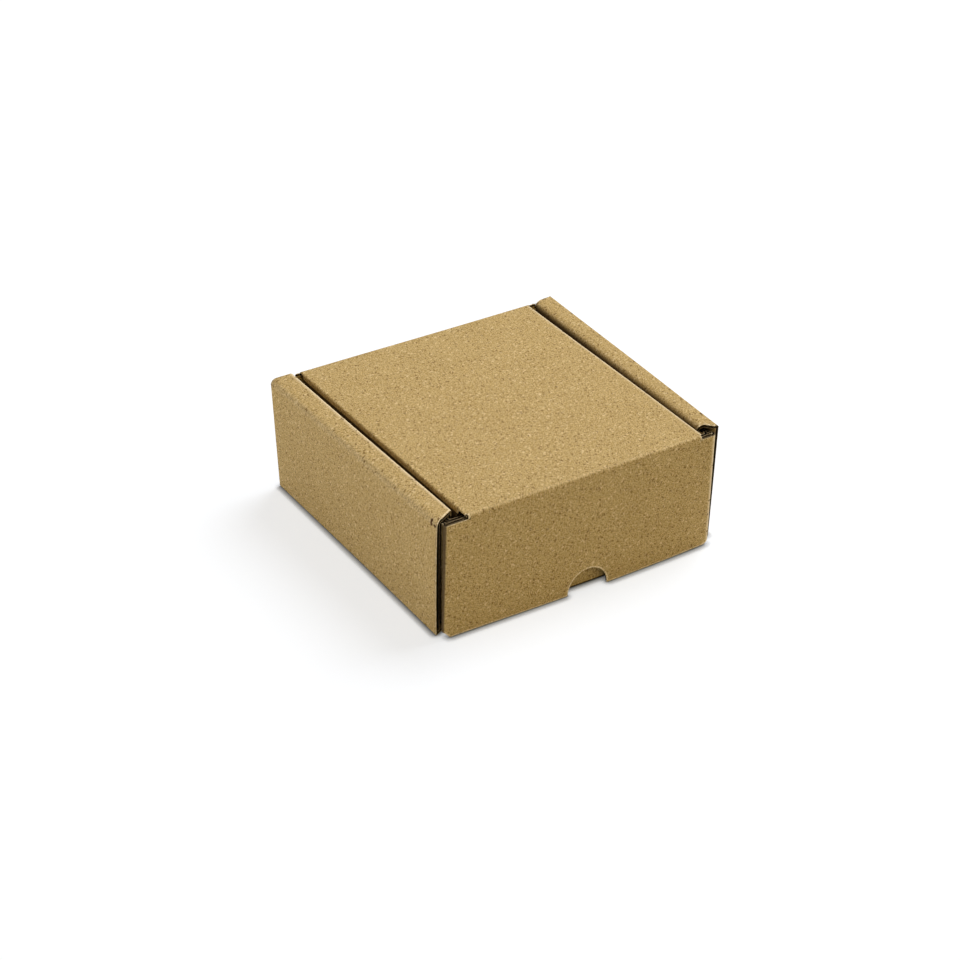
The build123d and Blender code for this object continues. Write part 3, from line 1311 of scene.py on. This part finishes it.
    def lean_back(self, flat: np.ndarray, points: np.ndarray) -> None:
        """Lean the back wall with the lid forwards, more at the right, and slide the lid.

        Args:
            flat: Where the points lie on the flat blank.
            points: Their places so far, which are changed.
        """
        u, v = flat.T
        of_rail = (v < self.side_back + self.slit) & (np.abs(u) > self.end_half)
        x, y, z = points.T
        left, right = self.back_lean
        amount = left + (right - left) * (x / self.lid_half + 1.0) / 2
        wall_share = np.clip(z / self.bend_z, 0.0, 1.0)
        lid_share = np.clip((y - self.front_bend) / (self.back_bend - self.front_bend), 0.0, 1.0)
        of_lid = v > self.lid_start
        moved = (v > self.back_start) & ~of_rail
        front, back = self.lid_slide
        slide = np.where(of_lid, front + (back - front) * lid_share, back * wall_share)
        points[:, 1] -= np.where(moved, amount * np.where(of_lid, lid_share, wall_share), 0.0)
        points[:, 0] += np.where(moved, slide, 0.0)

    def spread_left_front(self, points: np.ndarray) -> None:
        """Bulge the left wall's front end outwards and forwards.

        Args:
            points: Places so far, which are changed.
        """
        x, _, z = points.T
        outness = np.clip((-x - self.ear_face) / (self.wall_face - self.ear_face), 0.0, 1.0)
        frontness = np.clip(1.0 - self.backness(points), 0.0, 1.0) ** 2 * outness
        height = np.clip(z / self.height, 0.0, 1.0)
        foot, top, bulge = self.left_front_spread
        points[:, 0] -= (foot + (top - foot) * height + bulge * crest(height)) * frontness
        points[:, 1] -= self.left_front_reach * frontness

    def bulge_front(self, flat: np.ndarray, points: np.ndarray) -> None:
        """Bulge the front wall's foot forwards, with the base's edge.

        Args:
            flat: Where the points lie on the flat blank.
            points: Their places so far, which are changed.
        """
        x, y, z = points.T
        frontness = smooth_step((self.front + self.bulge_reach - y) / self.bulge_reach)
        middle = np.clip(1.0 - (x / self.inner_face) ** 2, 0.0, 1.0)
        lowness = np.clip(1.0 - z / self.end_top, 0.0, 1.0)
        bulge = self.front_bulge * frontness * middle * lowness
        points[:, 1] -= np.where(flat[:, 1] < 0, bulge, 0.0)

    def squeeze_foot(self, flat: np.ndarray, points: np.ndarray) -> None:
        """Press the right rail's plies together at the foot, mostly at the front.

        Args:
            flat: Where the points lie on the flat blank.
            points: Their places so far, which are changed.
        """
        lowness = np.clip(1.0 - points[:, 2] / self.height, 0.0, 1.0)
        frontness = 1.0 - (1.0 - self.squeeze_back_share) * np.clip(self.backness(points), 0.0, 1.0)
        past = np.maximum(points[:, 0] - self.inner_face, 0.0)
        hold = np.where(flat[:, 1] > self.flap_start, 1.0 - self.before_ears(points), 1.0)
        points[:, 0] -= past * self.foot_squeeze * lowness * frontness * hold

    def before_ears(self, points: np.ndarray) -> np.ndarray:
        """Share of the front flap's face in places that run on to its ears."""
        return smooth_step(1.0 - (points[:, 1] - self.ear_front) / self.slip_root)

    def bow_flap(self, flat: np.ndarray, points: np.ndarray) -> None:
        """Let the front flap stand off, bow outwards and slip sideways.

        Args:
            flat: Where the points lie on the flat blank.
            points: Their places so far, which are changed.
        """
        of_flap = flat[:, 1] > self.flap_start
        x, y, z = points.T
        lowness = np.clip((self.front_bend_z - z) / (self.front_bend_z - self.flap_foot), 0.0, 1.0)
        bow = self.flap_bow * np.clip(1.0 - (x / self.ear_face) ** 2, 0.0, 1.0)
        stand = self.flap_stand_foot - self.flap_stand_top
        stand = stand + self.left_foot_stand * np.clip(-x / self.ear_face, 0.0, 1.0) ** 3
        rooted = np.clip(1.0 - (y - self.front_bend) / self.ear_root, 0.0, 1.0)
        face = self.before_ears(points)
        top, foot = self.flap_slip
        beside = (np.abs(x) - self.crease_half) / (self.ear_face - self.crease_half)
        beside = np.clip(beside, 0.0, 1.0)
        below = smooth_step(lowness / self.slip_onset)
        top_share = np.maximum(below, smooth_step(beside / self.slip_side_share))
        slip = (top - self.lid_slide[0]) * top_share + (foot - top) * lowness
        pinch = self.flap_pinch * (1.0 - lowness) * beside
        tuck = (self.ear_tuck * (1.0 - face) + pinch * face) * np.sign(x)
        ears = self.lid_slide[0] * (1.0 - face)
        points[:, 1] -= np.where(of_flap, (stand + bow) * lowness * rooted, 0.0)
        points[:, 0] += np.where(of_flap, slip * face - tuck - ears, 0.0)

    def wear_and_highlight(self, flat: np.ndarray) -> np.ndarray:
        """How pale the folds' crests are painted at flat points, from 0 to 1, as rubbed wear and
        painted highlight.
        """
        return np.max([crease.rubbed_and_highlit(flat) for crease in self.creases()], axis=0)

    def gaps(self) -> list[Gap]:
        """Find the panels that take painted shade: down in the gaps beside the lid and in the nooks
        at the front.

        Returns:
            The panels.
        """
        lid = self.lid_flap_start + self.tight.length
        begin, full = self.lid_shade
        made = [Gap(s, lid + begin, lid + full, (self.lid_flat, self.flap_start)) for s in (-1, 1)]
        for s, rail in ((-1, self.left_rail), (1, self.right_rail)):
            wall = self.roll_start(rail) + rail.roll.length
            begin, full = rail.shade
            made.append(Gap(s, wall + begin, wall + full, (self.side_front, self.side_back)))
        return made + self.front_nooks()

    def front_nooks(self) -> list[Gap]:
        """Painted shade in the nooks at the front: the left ear's root, the shoulders' tops and the
        wall's foot.

        Returns:
            Their panels.
        """
        root = self.ear_face - self.left_ear.outer
        ear_flat = root + self.left_ear.length
        ear_span = (self.flap_v(self.shoulder_z), self.flap_v(0))
        tops = (self.flap_v(self.height), self.flap_v(self.shoulder_z - self.shoulder_shade))
        wall_tops = (self.front_v(self.height), self.front_v(self.end_top - self.wall_shade))
        foot = (self.front_v(self.foot.outer), self.front_start)
        before, beyond = self.ear_shade
        made = [
            Gap(-1, root - before, root + self.left_ear.length / 2, ear_span, ear_flat + beyond),
            Gap(1, -self.end_half - Gap.FADE, -self.end_half, foot),
        ]
        for s in (-1, 1):
            for span in (tops, wall_tops):
                made.append(Gap(s, self.crease_half, self.lid_half, span))
        return made


# Meshes of the folded sheet


@dataclass
class FlatMesh:
    """Faces of a flat outline, cut along the creases and into even panels.

    Attributes:
        flat: Places of the vertices.
        faces: Vertices of each face.
        rims: Boundary edges, with the sheet on their left.
        inward: For each vertex of a cut edge, the way into the sheet, 1 mm deep.
    """

    flat: np.ndarray
    faces: list[list[int]]
    rims: list[tuple[int, int]]
    inward: dict[int, np.ndarray]


@dataclass
class SheetMaker:
    """Makes solid meshes from outlines of the blank.

    Attributes:
        blank: The blank.
        panel_step: Size of the cells that panels are cut into.
        fold_steps: Number of cells over a curved stretch.
        fold_margin: Width of a narrow cell beside it.
        wave_step: Length of the wavy paper's cells along a cut edge.
        wave_inset: How far the wavy paper keeps from the ends of a run of edges.
        wave_points: Least number of points along a piece of wavy paper.
        cross_slope: Slope from which an edge counts as crossing the flutes.
        least_edge: Least length by which a way is divided.
        mitre_limit: Least divisor where two ways meet at a corner.
        sharp_angle: Angle between faces from which their edge is sharp.
    """

    blank: Blank
    panel_step: float = 4.0
    fold_steps: int = 10
    fold_margin: float = 0.7
    wave_step: float = 0.33
    wave_inset: float = 0.1
    wave_points: int = 3
    cross_slope: float = 0.35
    least_edge: float = 1e-9
    mitre_limit: float = 0.5
    sharp_angle: float = math.radians(14)

    def flat_mesh(self, outlines: list[list[Point]]) -> FlatMesh:
        """Fill an outline and its holes with faces.

        Args:
            outlines: The outline and its holes.

        Returns:
            The flat mesh.
        """
        bm = bmesh.new()
        for outline in outlines:
            ring = [bm.verts.new((u, v, 0.0)) for u, v in outline]
            for first, second in zip(ring, ring[1:] + ring[:1]):
                bm.edges.new((first, second))
        bmesh.ops.triangle_fill(bm, use_beauty=True, edges=bm.edges[:], normal=(0.0, 0.0, 1.0))
        self.cut_folds(bm)
        self.cut_panels(bm)
        self.merge_slanted(bm)
        made = self.read_flat(bm)
        bm.free()
        return made

    def cut(
        self, bm: bmesh.types.BMesh, axis: FlatAxis, place: float, faces: Optional[list] = None
    ) -> None:
        """Cut faces along a line.

        Args:
            bm: The flat mesh.
            axis: The coordinate that the line has fixed.
            place: Its value.
            faces: The faces to cut, or None for all.
        """
        chosen = bm.faces[:] if faces is None else faces
        edges = {edge for face in chosen for edge in face.edges}
        verts = {vert for face in chosen for vert in face.verts}
        at = (place, 0.0, 0.0) if axis is FlatAxis.ACROSS else (0.0, place, 0.0)
        normal = (1.0, 0.0, 0.0) if axis is FlatAxis.ACROSS else (0.0, 1.0, 0.0)
        geometry = [*chosen, *edges, *verts]
        bmesh.ops.bisect_plane(bm, geom=geometry, dist=TOUCH, plane_co=at, plane_no=normal)

    def cut_folds(self, bm: bmesh.types.BMesh) -> None:
        """Cut along each crease, and finely over its curved stretch.

        Args:
            bm: The flat mesh.
        """
        for crease in self.blank.creases():
            place = crease.axis.value
            end = crease.start + crease.way * crease.bend.length
            low, high = min(crease.start, end), max(crease.start, end)
            extent = [vert.co[place] for vert in bm.verts]
            if high < min(extent) or low > max(extent):
                continue
            for line in (low - self.fold_margin, low, high, high + self.fold_margin):
                self.cut(bm, crease.axis, line)
            for step in range(1, self.fold_steps):
                middles = [(face, face.calc_center_median()) for face in bm.faces]
                spots = np.array([spot[:2] for _, spot in middles])
                inside = crease.within(spots) & (spots[:, place] > low) & (spots[:, place] < high)
                curved = [face for (face, _), hit in zip(middles, inside) if hit]
                if curved:
                    self.cut(bm, crease.axis, low + (high - low) * step / self.fold_steps, curved)

    def cut_panels(self, bm: bmesh.types.BMesh) -> None:
        """Cut the panels into even cells.

        Args:
            bm: The flat mesh.
        """
        for axis in FlatAxis:
            extent = [vert.co[axis.value] for vert in bm.verts]
            first = math.ceil(min(extent) / self.panel_step)
            last = math.floor(max(extent) / self.panel_step)
            for index in range(first, last + 1):
                self.cut(bm, axis, index * self.panel_step)

    def merge_slanted(self, bm: bmesh.types.BMesh) -> None:
        """Take out the slanted edges that the first filling left inside the cells.

        Args:
            bm: The flat mesh.
        """
        slanted = []
        for edge in bm.edges:
            run = edge.verts[1].co - edge.verts[0].co
            if len(edge.link_faces) == 2 and min(abs(run.x), abs(run.y)) > TOUCH:
                slanted.append(edge)
        bmesh.ops.dissolve_edges(bm, edges=slanted, use_verts=False, use_face_split=False)
        loose = [v for v in bm.verts if len(v.link_edges) == 2 and not v.is_boundary]
        bmesh.ops.dissolve_verts(bm, verts=loose)

    def read_flat(self, bm: bmesh.types.BMesh) -> FlatMesh:
        """Read the vertices, faces and boundary.

        Args:
            bm: The flat mesh.

        Returns:
            The same in plain lists.
        """
        bm.verts.ensure_lookup_table()
        bm.verts.index_update()
        bm.normal_update()
        for face in bm.faces:
            if face.normal.z < 0:
                face.normal_flip()
        flat = np.array([vert.co[:2] for vert in bm.verts])
        faces = [[vert.index for vert in face.verts] for face in bm.faces]
        rims = []
        for edge in bm.edges:
            if len(edge.link_loops) == 1:
                loop = edge.link_loops[0]
                rims.append((loop.vert.index, loop.link_loop_next.vert.index))
        joined = self.blank.joined(flat)
        normals: dict[int, list[np.ndarray]] = {}
        for first, second in rims:
            if joined[first] and joined[second]:
                continue
            run = flat[second] - flat[first]
            normal = np.array((-run[1], run[0])) / max(np.linalg.norm(run), self.least_edge)
            normals.setdefault(first, []).append(normal)
            normals.setdefault(second, []).append(normal)
        inward = {}
        for vert, ways in normals.items():
            one, other = ways[0], ways[-1]
            inward[vert] = (one + other) / max(1.0 + float(one @ other), self.mitre_limit)
        return FlatMesh(flat, faces, rims, inward)

    def solid(
        self, name: str, outlines: list[list[Point]], finishes: list[bpy.types.Material]
    ) -> bpy.types.Object:
        """Make the folded, solid mesh of a part of the blank.

        Args:
            name: Name of the piece.
            outlines: Its flat outline and holes.
            finishes: Materials in the order of Face.

        Returns:
            The new object.
        """
        mesh = self.flat_mesh(outlines)
        board = self.blank.board
        count = len(mesh.flat)
        skin = mesh.flat.copy()
        for vert, way in mesh.inward.items():
            skin[vert] += way * board.crush_width
        flat = [skin, skin]
        depth = [np.zeros(count), np.full(count, board.thickness)]
        faces = [(face, Face.LINER) for face in mesh.faces]
        faces += [([vert + count for vert in reversed(face)], Face.LINER) for face in mesh.faces]

        edge_flat = mesh.flat[list(mesh.inward)]
        ways = np.array(list(mesh.inward.values()))
        rings = [(board.crush_drop, 0.0), (board.liner, 0.0), (board.liner, board.channel_depth)]
        rings += [(board.thickness - level, inset) for level, inset in reversed(rings)]
        for level, inset in rings:
            flat.append(edge_flat + ways * inset)
            depth.append(np.full(len(edge_flat), level))
        faces += self.rim_faces(mesh, len(rings))

        made = 2 * count + len(rings) * len(edge_flat)
        for wave_flat, wave_depth, wave_faces in self.waves(mesh):
            flat.append(wave_flat)
            depth.append(wave_depth)
            faces += [([vert + made for vert in face], Face.WAVE) for face in wave_faces]
            made += len(wave_flat)
        return self.write_mesh(name, np.concatenate(flat), np.concatenate(depth), faces, finishes)

    def rim_faces(self, mesh: FlatMesh, rings: int) -> list[tuple[list[int], Face]]:
        """Faces over the cut edges, from the outer liner's face to the inner one's.

        Args:
            mesh: The flat mesh.
            rings: Number of rings of vertices between the two, which follow on theirs.

        Returns:
            Vertices and finish of each face.
        """
        count = len(mesh.flat)
        order = {vert: place for place, vert in enumerate(mesh.inward)}
        ring_starts = [2 * count + place * len(order) for place in range(rings)]
        kinds = (Face.CUT, Face.CUT, Face.WAVE, Face.WAVE, Face.WAVE, Face.INNER_EDGE, Face.LINER)
        joined = self.blank.joined(mesh.flat)
        faces = []
        for first, second in mesh.rims:
            left, right = (
                [end, *(start + order[end] for start in ring_starts if end in order), end + count]
                for end in (first, second)
            )
            if joined[first] and joined[second]:
                faces.append((left + right[::-1], Face.LINER))
                continue
            for place, kind in enumerate(kinds):
                faces.append(([left[place], left[place + 1], right[place + 1], right[place]], kind))
        return faces

    def waves(self, mesh: FlatMesh) -> list[tuple[np.ndarray, np.ndarray, list[list[int]]]]:
        """Ends of the wavy paper, where a cut edge crosses the flutes.

        Args:
            mesh: The flat mesh.

        Returns:
            For each run of edges, flat places, depths and faces of a thin closed strip.
        """
        board = self.blank.board
        swing = (board.thickness - 2 * board.liner - board.wave_paper) / 2
        made = []
        for run in self.crossing_runs(mesh):
            spots, ways = self.sampled(mesh, run)
            if len(spots) < self.wave_points:
                continue
            phase = 4 * QUARTER * spots[:, 1] / board.flute_pitch
            middle = board.thickness / 2 + swing * np.sin(phase)
            flat, depth = [], []
            for inset, side in (
                (board.wave_setback, -1), (board.wave_setback, 1),
                (board.channel_depth, 1), (board.channel_depth, -1),
            ):
                flat.append(spots + ways * inset)
                depth.append(middle + side * board.wave_paper / 2)
            size = len(spots)
            starts = [size * side for side in range(4)]
            faces = [starts, [start + size - 1 for start in reversed(starts)]]
            for place in range(size - 1):
                for side in range(4):
                    here, there = side * size + place, (side + 1) % 4 * size + place
                    faces.append([here, here + 1, there + 1, there])
            made.append((np.concatenate(flat), np.concatenate(depth), faces))
        return made

    def crossing_runs(self, mesh: FlatMesh) -> list[list[int]]:
        """Find runs of boundary vertices whose edges cross the flutes.

        Args:
            mesh: The flat mesh.

        Returns:
            The vertices of each run.
        """
        following = dict(mesh.rims)
        joined = self.blank.joined(mesh.flat)
        crossing = {}
        for first, second in mesh.rims:
            step = np.abs(mesh.flat[second] - mesh.flat[first])
            steep = bool(step[1] > self.cross_slope * step[0])
            crossing[first] = steep and not (joined[first] and joined[second])
        leading = {second: first for first, second in mesh.rims}
        runs = []
        for first in following:
            if not crossing[first] or crossing[leading[first]]:
                continue
            run = [first]
            while crossing[run[-1]] and len(run) < len(following):
                run.append(following[run[-1]])
            runs.append(run)
        return runs

    def sampled(self, mesh: FlatMesh, run: list[int]) -> tuple[np.ndarray, np.ndarray]:
        """Even samples along a run of boundary vertices.

        Args:
            mesh: The flat mesh.
            run: The vertices.

        Returns:
            Flat places, and the way into the sheet at each.
        """
        corners = mesh.flat[run]
        ways = np.array([mesh.inward[vert] for vert in run])
        steps = np.linalg.norm(np.diff(corners, axis=0), axis=1)
        reach = np.concatenate(([0.0], np.cumsum(steps)))
        inset = min(self.wave_inset, reach[-1] / 4)
        count = max(2, int(round(reach[-1] / self.wave_step)))
        at = np.linspace(inset, reach[-1] - inset, count)
        spots = np.column_stack([np.interp(at, reach, corners[:, axis]) for axis in (0, 1)])
        inward = np.column_stack([np.interp(at, reach, ways[:, axis]) for axis in (0, 1)])
        return spots, inward

    def write_mesh(
        self,
        name: str,
        flat: np.ndarray,
        depth: np.ndarray,
        faces: list[tuple[list[int], Face]],
        finishes: list[bpy.types.Material],
    ) -> bpy.types.Object:
        """Fold the vertices and make a Blender object of them.

        Args:
            name: Name of the piece.
            flat: Places of the vertices on the flat blank.
            depth: Their depths below the outer liner's face.
            faces: Vertices and finish of each face.
            finishes: Materials in the order of Face.

        Returns:
            The new object.
        """
        mesh = bpy.data.meshes.new(name)
        mesh.from_pydata(self.blank.folded(flat, depth), [], [face for face, _ in faces])
        mesh.polygons.foreach_set("material_index", [kind.value for _, kind in faces])
        for finish in finishes:
            mesh.materials.append(finish)
        inner = depth > self.blank.board.thickness / 2
        place = np.column_stack((flat[:, 0] + INNER_SHIFT * inner, flat[:, 1], depth))
        sheet = mesh.attributes.new(SHEET_PLACE, "FLOAT_VECTOR", "POINT")
        sheet.data.foreach_set("vector", place.astype(np.float32).ravel())
        worn_and_highlit = mesh.attributes.new(FOLD_WEAR_AND_HIGHLIGHT, "FLOAT", "POINT")
        worn_and_highlit.data.foreach_set("value", self.blank.wear_and_highlight(flat).astype(np.float32))
        bm = bmesh.new()
        bm.from_mesh(mesh)
        bmesh.ops.recalc_face_normals(bm, faces=bm.faces)
        bm.to_mesh(mesh)
        bm.free()
        mesh.shade_smooth()
        mesh.set_sharp_from_angle(angle=self.sharp_angle)
        made = bpy.data.objects.new(name, mesh)
        bpy.context.scene.collection.objects.link(made)
        return made


@dataclass
class MailerBox:
    """The folded box: tray with lid, front flap, and the crease between them."""

    blank: Blank = field(default_factory=Blank)
    liner: KraftPaper = KraftPaper(
        "kraft_liner",
        colour=(0.515, 0.358, 0.137),
        pale=(0.72, 0.55, 0.29),
        dark=(0.20, 0.115, 0.035),
    )
    cut: KraftPaper = KraftPaper(
        "cut_liner_edge",
        colour=(0.78, 0.61, 0.35),
        pale=(0.86, 0.72, 0.47),
        dark=(0.45, 0.31, 0.14),
        flute_relief=0.0,
    )
    # Near-black wavy paper: painted shade in the flute channels of the cut edges
    wave: KraftPaper = KraftPaper(
        "wave_paper",
        colour=(0.07, 0.047, 0.022),
        pale=(0.12, 0.08, 0.04),
        dark=(0.03, 0.018, 0.007),
        flute_relief=0.0,
    )
    # Darker than the outer liner's cut edge: painted shade on the inner liner's cut edge
    inner_edge: KraftPaper = KraftPaper(
        "inner_liner_edge_painted_shade",
        colour=(0.26, 0.19, 0.10),
        pale=(0.34, 0.26, 0.15),
        dark=(0.13, 0.09, 0.04),
        flute_relief=0.0,
    )
    slot: str = "kraft_board"

    def build(self) -> list[bpy.types.Object]:
        """Make the pieces, and hand the carton and the front flap to the frame's bodies.

        Returns:
            The new objects.
        """
        maker = SheetMaker(self.blank)
        pitch = self.blank.board.flute_pitch
        gaps = self.blank.gaps()
        papers = (self.liner, self.cut, self.wave, self.inner_edge)
        finishes = [paper.material(pitch, gaps) for paper in papers]
        outlines = [self.blank.carton_outline(), *self.blank.slots()]
        carton = maker.solid("carton_sheet", outlines, finishes)
        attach(carton, "carton")
        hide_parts("tray", "lid")
        flap = maker.solid("front_flap_sheet", [self.blank.flap_outline()], finishes)
        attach(flap, "front_flap")
        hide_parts("front_flap")
        crease = maker.solid("front_crease", [self.blank.crease_outline()], finishes)
        self.join_crease(crease)
        pieces = [carton, flap, crease]
        return pieces

    def join_crease(self, crease: bpy.types.Object) -> None:
        """Bake the front crease's transform into its mesh.

        Args:
            crease: The crease's piece.
        """
        blank = self.blank
        start = (0.0, blank.front_bend * MM, blank.lid_under * MM)
        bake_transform(crease)


# Studio


@dataclass(frozen=True)
class Lamp:
    """A round soft lamp that is turned to the box.

    Attributes:
        name: Name of the lamp.
        place: Where it hangs, in metres.
        power: Its power, in watts.
        size: Its diameter, in metres.
    """

    name: str
    place: Triple
    power: float
    size: float

    def hang(self, target: Vector) -> None:
        """Make the lamp.

        Args:
            target: The place that it is turned to.
        """
        light = bpy.data.lights.new(self.name, "AREA")
        light.shape = "DISK"
        light.size = self.size
        light.energy = self.power
        lamp = bpy.data.objects.new(self.name, light)
        lamp.location = self.place
        lamp.rotation_euler = (target - Vector(self.place)).to_track_quat("-Z", "Y").to_euler()
        bpy.context.scene.collection.objects.link(lamp)


@dataclass
class Studio:
    """Pale floor, soft light from above and the camera at the photograph's angle."""

    floor: StudioFloor = StudioFloor()
    floor_half: float = 4.0
    sky: Colour = (0.265, 0.26, 0.285)
    front_sky: Colour = (0.54, 0.46, 0.26)
    front_sky_rise: Point = (0.0, 0.8)
    backdrop: Colour = (1.0, 1.0, 1.0)
    lamps: tuple[Lamp, ...] = (
        Lamp("key", (0.98, 0.30, 1.46), 27.2, 1.3),
        Lamp("left_fill", (-1.58, -0.05, 0.26), 6.4, 0.5),
    )
    azimuth: float = -32.566
    elevation: float = 32.313
    roll: float = 0.476
    distance: float = 0.991534
    target: Triple = (0.0, 0.00255, 0.023)
    slide: Point = (-0.004961, -0.008705)
    lens: float = 105.0
    sensor: float = 36.0
    clip_start: float = 0.01

    def build(self) -> None:
        """Make floor, lights and camera."""
        self.make_floor()
        self.make_sky()
        for lamp in self.lamps:
            lamp.hang(Vector(self.target))
        self.make_camera()
        bpy.context.scene.view_settings.view_transform = "Standard"

    def make_floor(self) -> None:
        """Lay the floor under the box."""
        half = self.floor_half
        mesh = bpy.data.meshes.new("floor")
        corners = [(-half, -half, 0.0), (half, -half, 0.0), (half, half, 0.0), (-half, half, 0.0)]
        mesh.from_pydata(corners, [], [(0, 1, 2, 3)])
        mesh.materials.append(self.floor.material())
        floor = bpy.data.objects.new("floor", mesh)
        bpy.context.scene.collection.objects.link(floor)

    def make_sky(self) -> None:
        """Light the scene softly from all round, warmer from the front; the camera sees white."""
        world = bpy.data.worlds.new("studio_sky")
        world.use_nodes = True
        book = NodeBook(world.node_tree)
        way = book.node("ShaderNodeTexCoord").outputs["Generated"]
        inputs = {0: way, 1: (0.0, -1.0, 0.0)}
        ahead = book.node("ShaderNodeVectorMath", {"operation": "DOT_PRODUCT"}, inputs)
        frontness = Socket(book, ahead.outputs["Value"]).rise(*self.front_sky_rise)
        colour = book.blend(frontness, self.sky, self.front_sky)
        seen = Socket(book, book.node("ShaderNodeLightPath").outputs["Is Camera Ray"])
        colour = book.blend(seen, colour, self.backdrop)
        sky = book.node("ShaderNodeBackground", {}, {"Color": colour})
        book.node("ShaderNodeOutputWorld", {}, {"Surface": sky.outputs[0]})
        bpy.context.scene.world = world

    def make_camera(self) -> None:
        """Set up the camera."""
        azimuth, elevation, roll = map(math.radians, (self.azimuth, self.elevation, self.roll))
        back = Vector((
            math.sin(azimuth) * math.cos(elevation),
            -math.cos(azimuth) * math.cos(elevation),
            math.sin(elevation),
        ))
        right = Vector((math.cos(azimuth), math.sin(azimuth), 0.0))
        up = back.cross(right)
        lens = bpy.data.cameras.new("photo_camera")
        lens.lens = self.lens
        lens.sensor_width = self.sensor
        lens.sensor_fit = "HORIZONTAL"
        lens.clip_start = self.clip_start
        camera = bpy.data.objects.new("photo_camera", lens)
        place = Vector(self.target) + back * self.distance
        place += right * self.slide[0] + up * self.slide[1]
        rolled = right * math.cos(roll) + up * math.sin(roll)
        turn = Matrix((rolled, back.cross(rolled), back)).transposed()
        camera.matrix_world = Matrix.Translation(place) @ turn.to_4x4()
        bpy.context.scene.collection.objects.link(camera)
        bpy.context.scene.camera = camera


def main() -> None:
    """Build the box and its studio."""
    logging.basicConfig(level=logging.INFO, format="%(name)s: %(message)s")
    for piece in MailerBox().build():
        LOG.info("%s: %d faces", piece.name, len(piece.data.polygons))
    Studio().build()


if __name__ == "__main__":
    main()
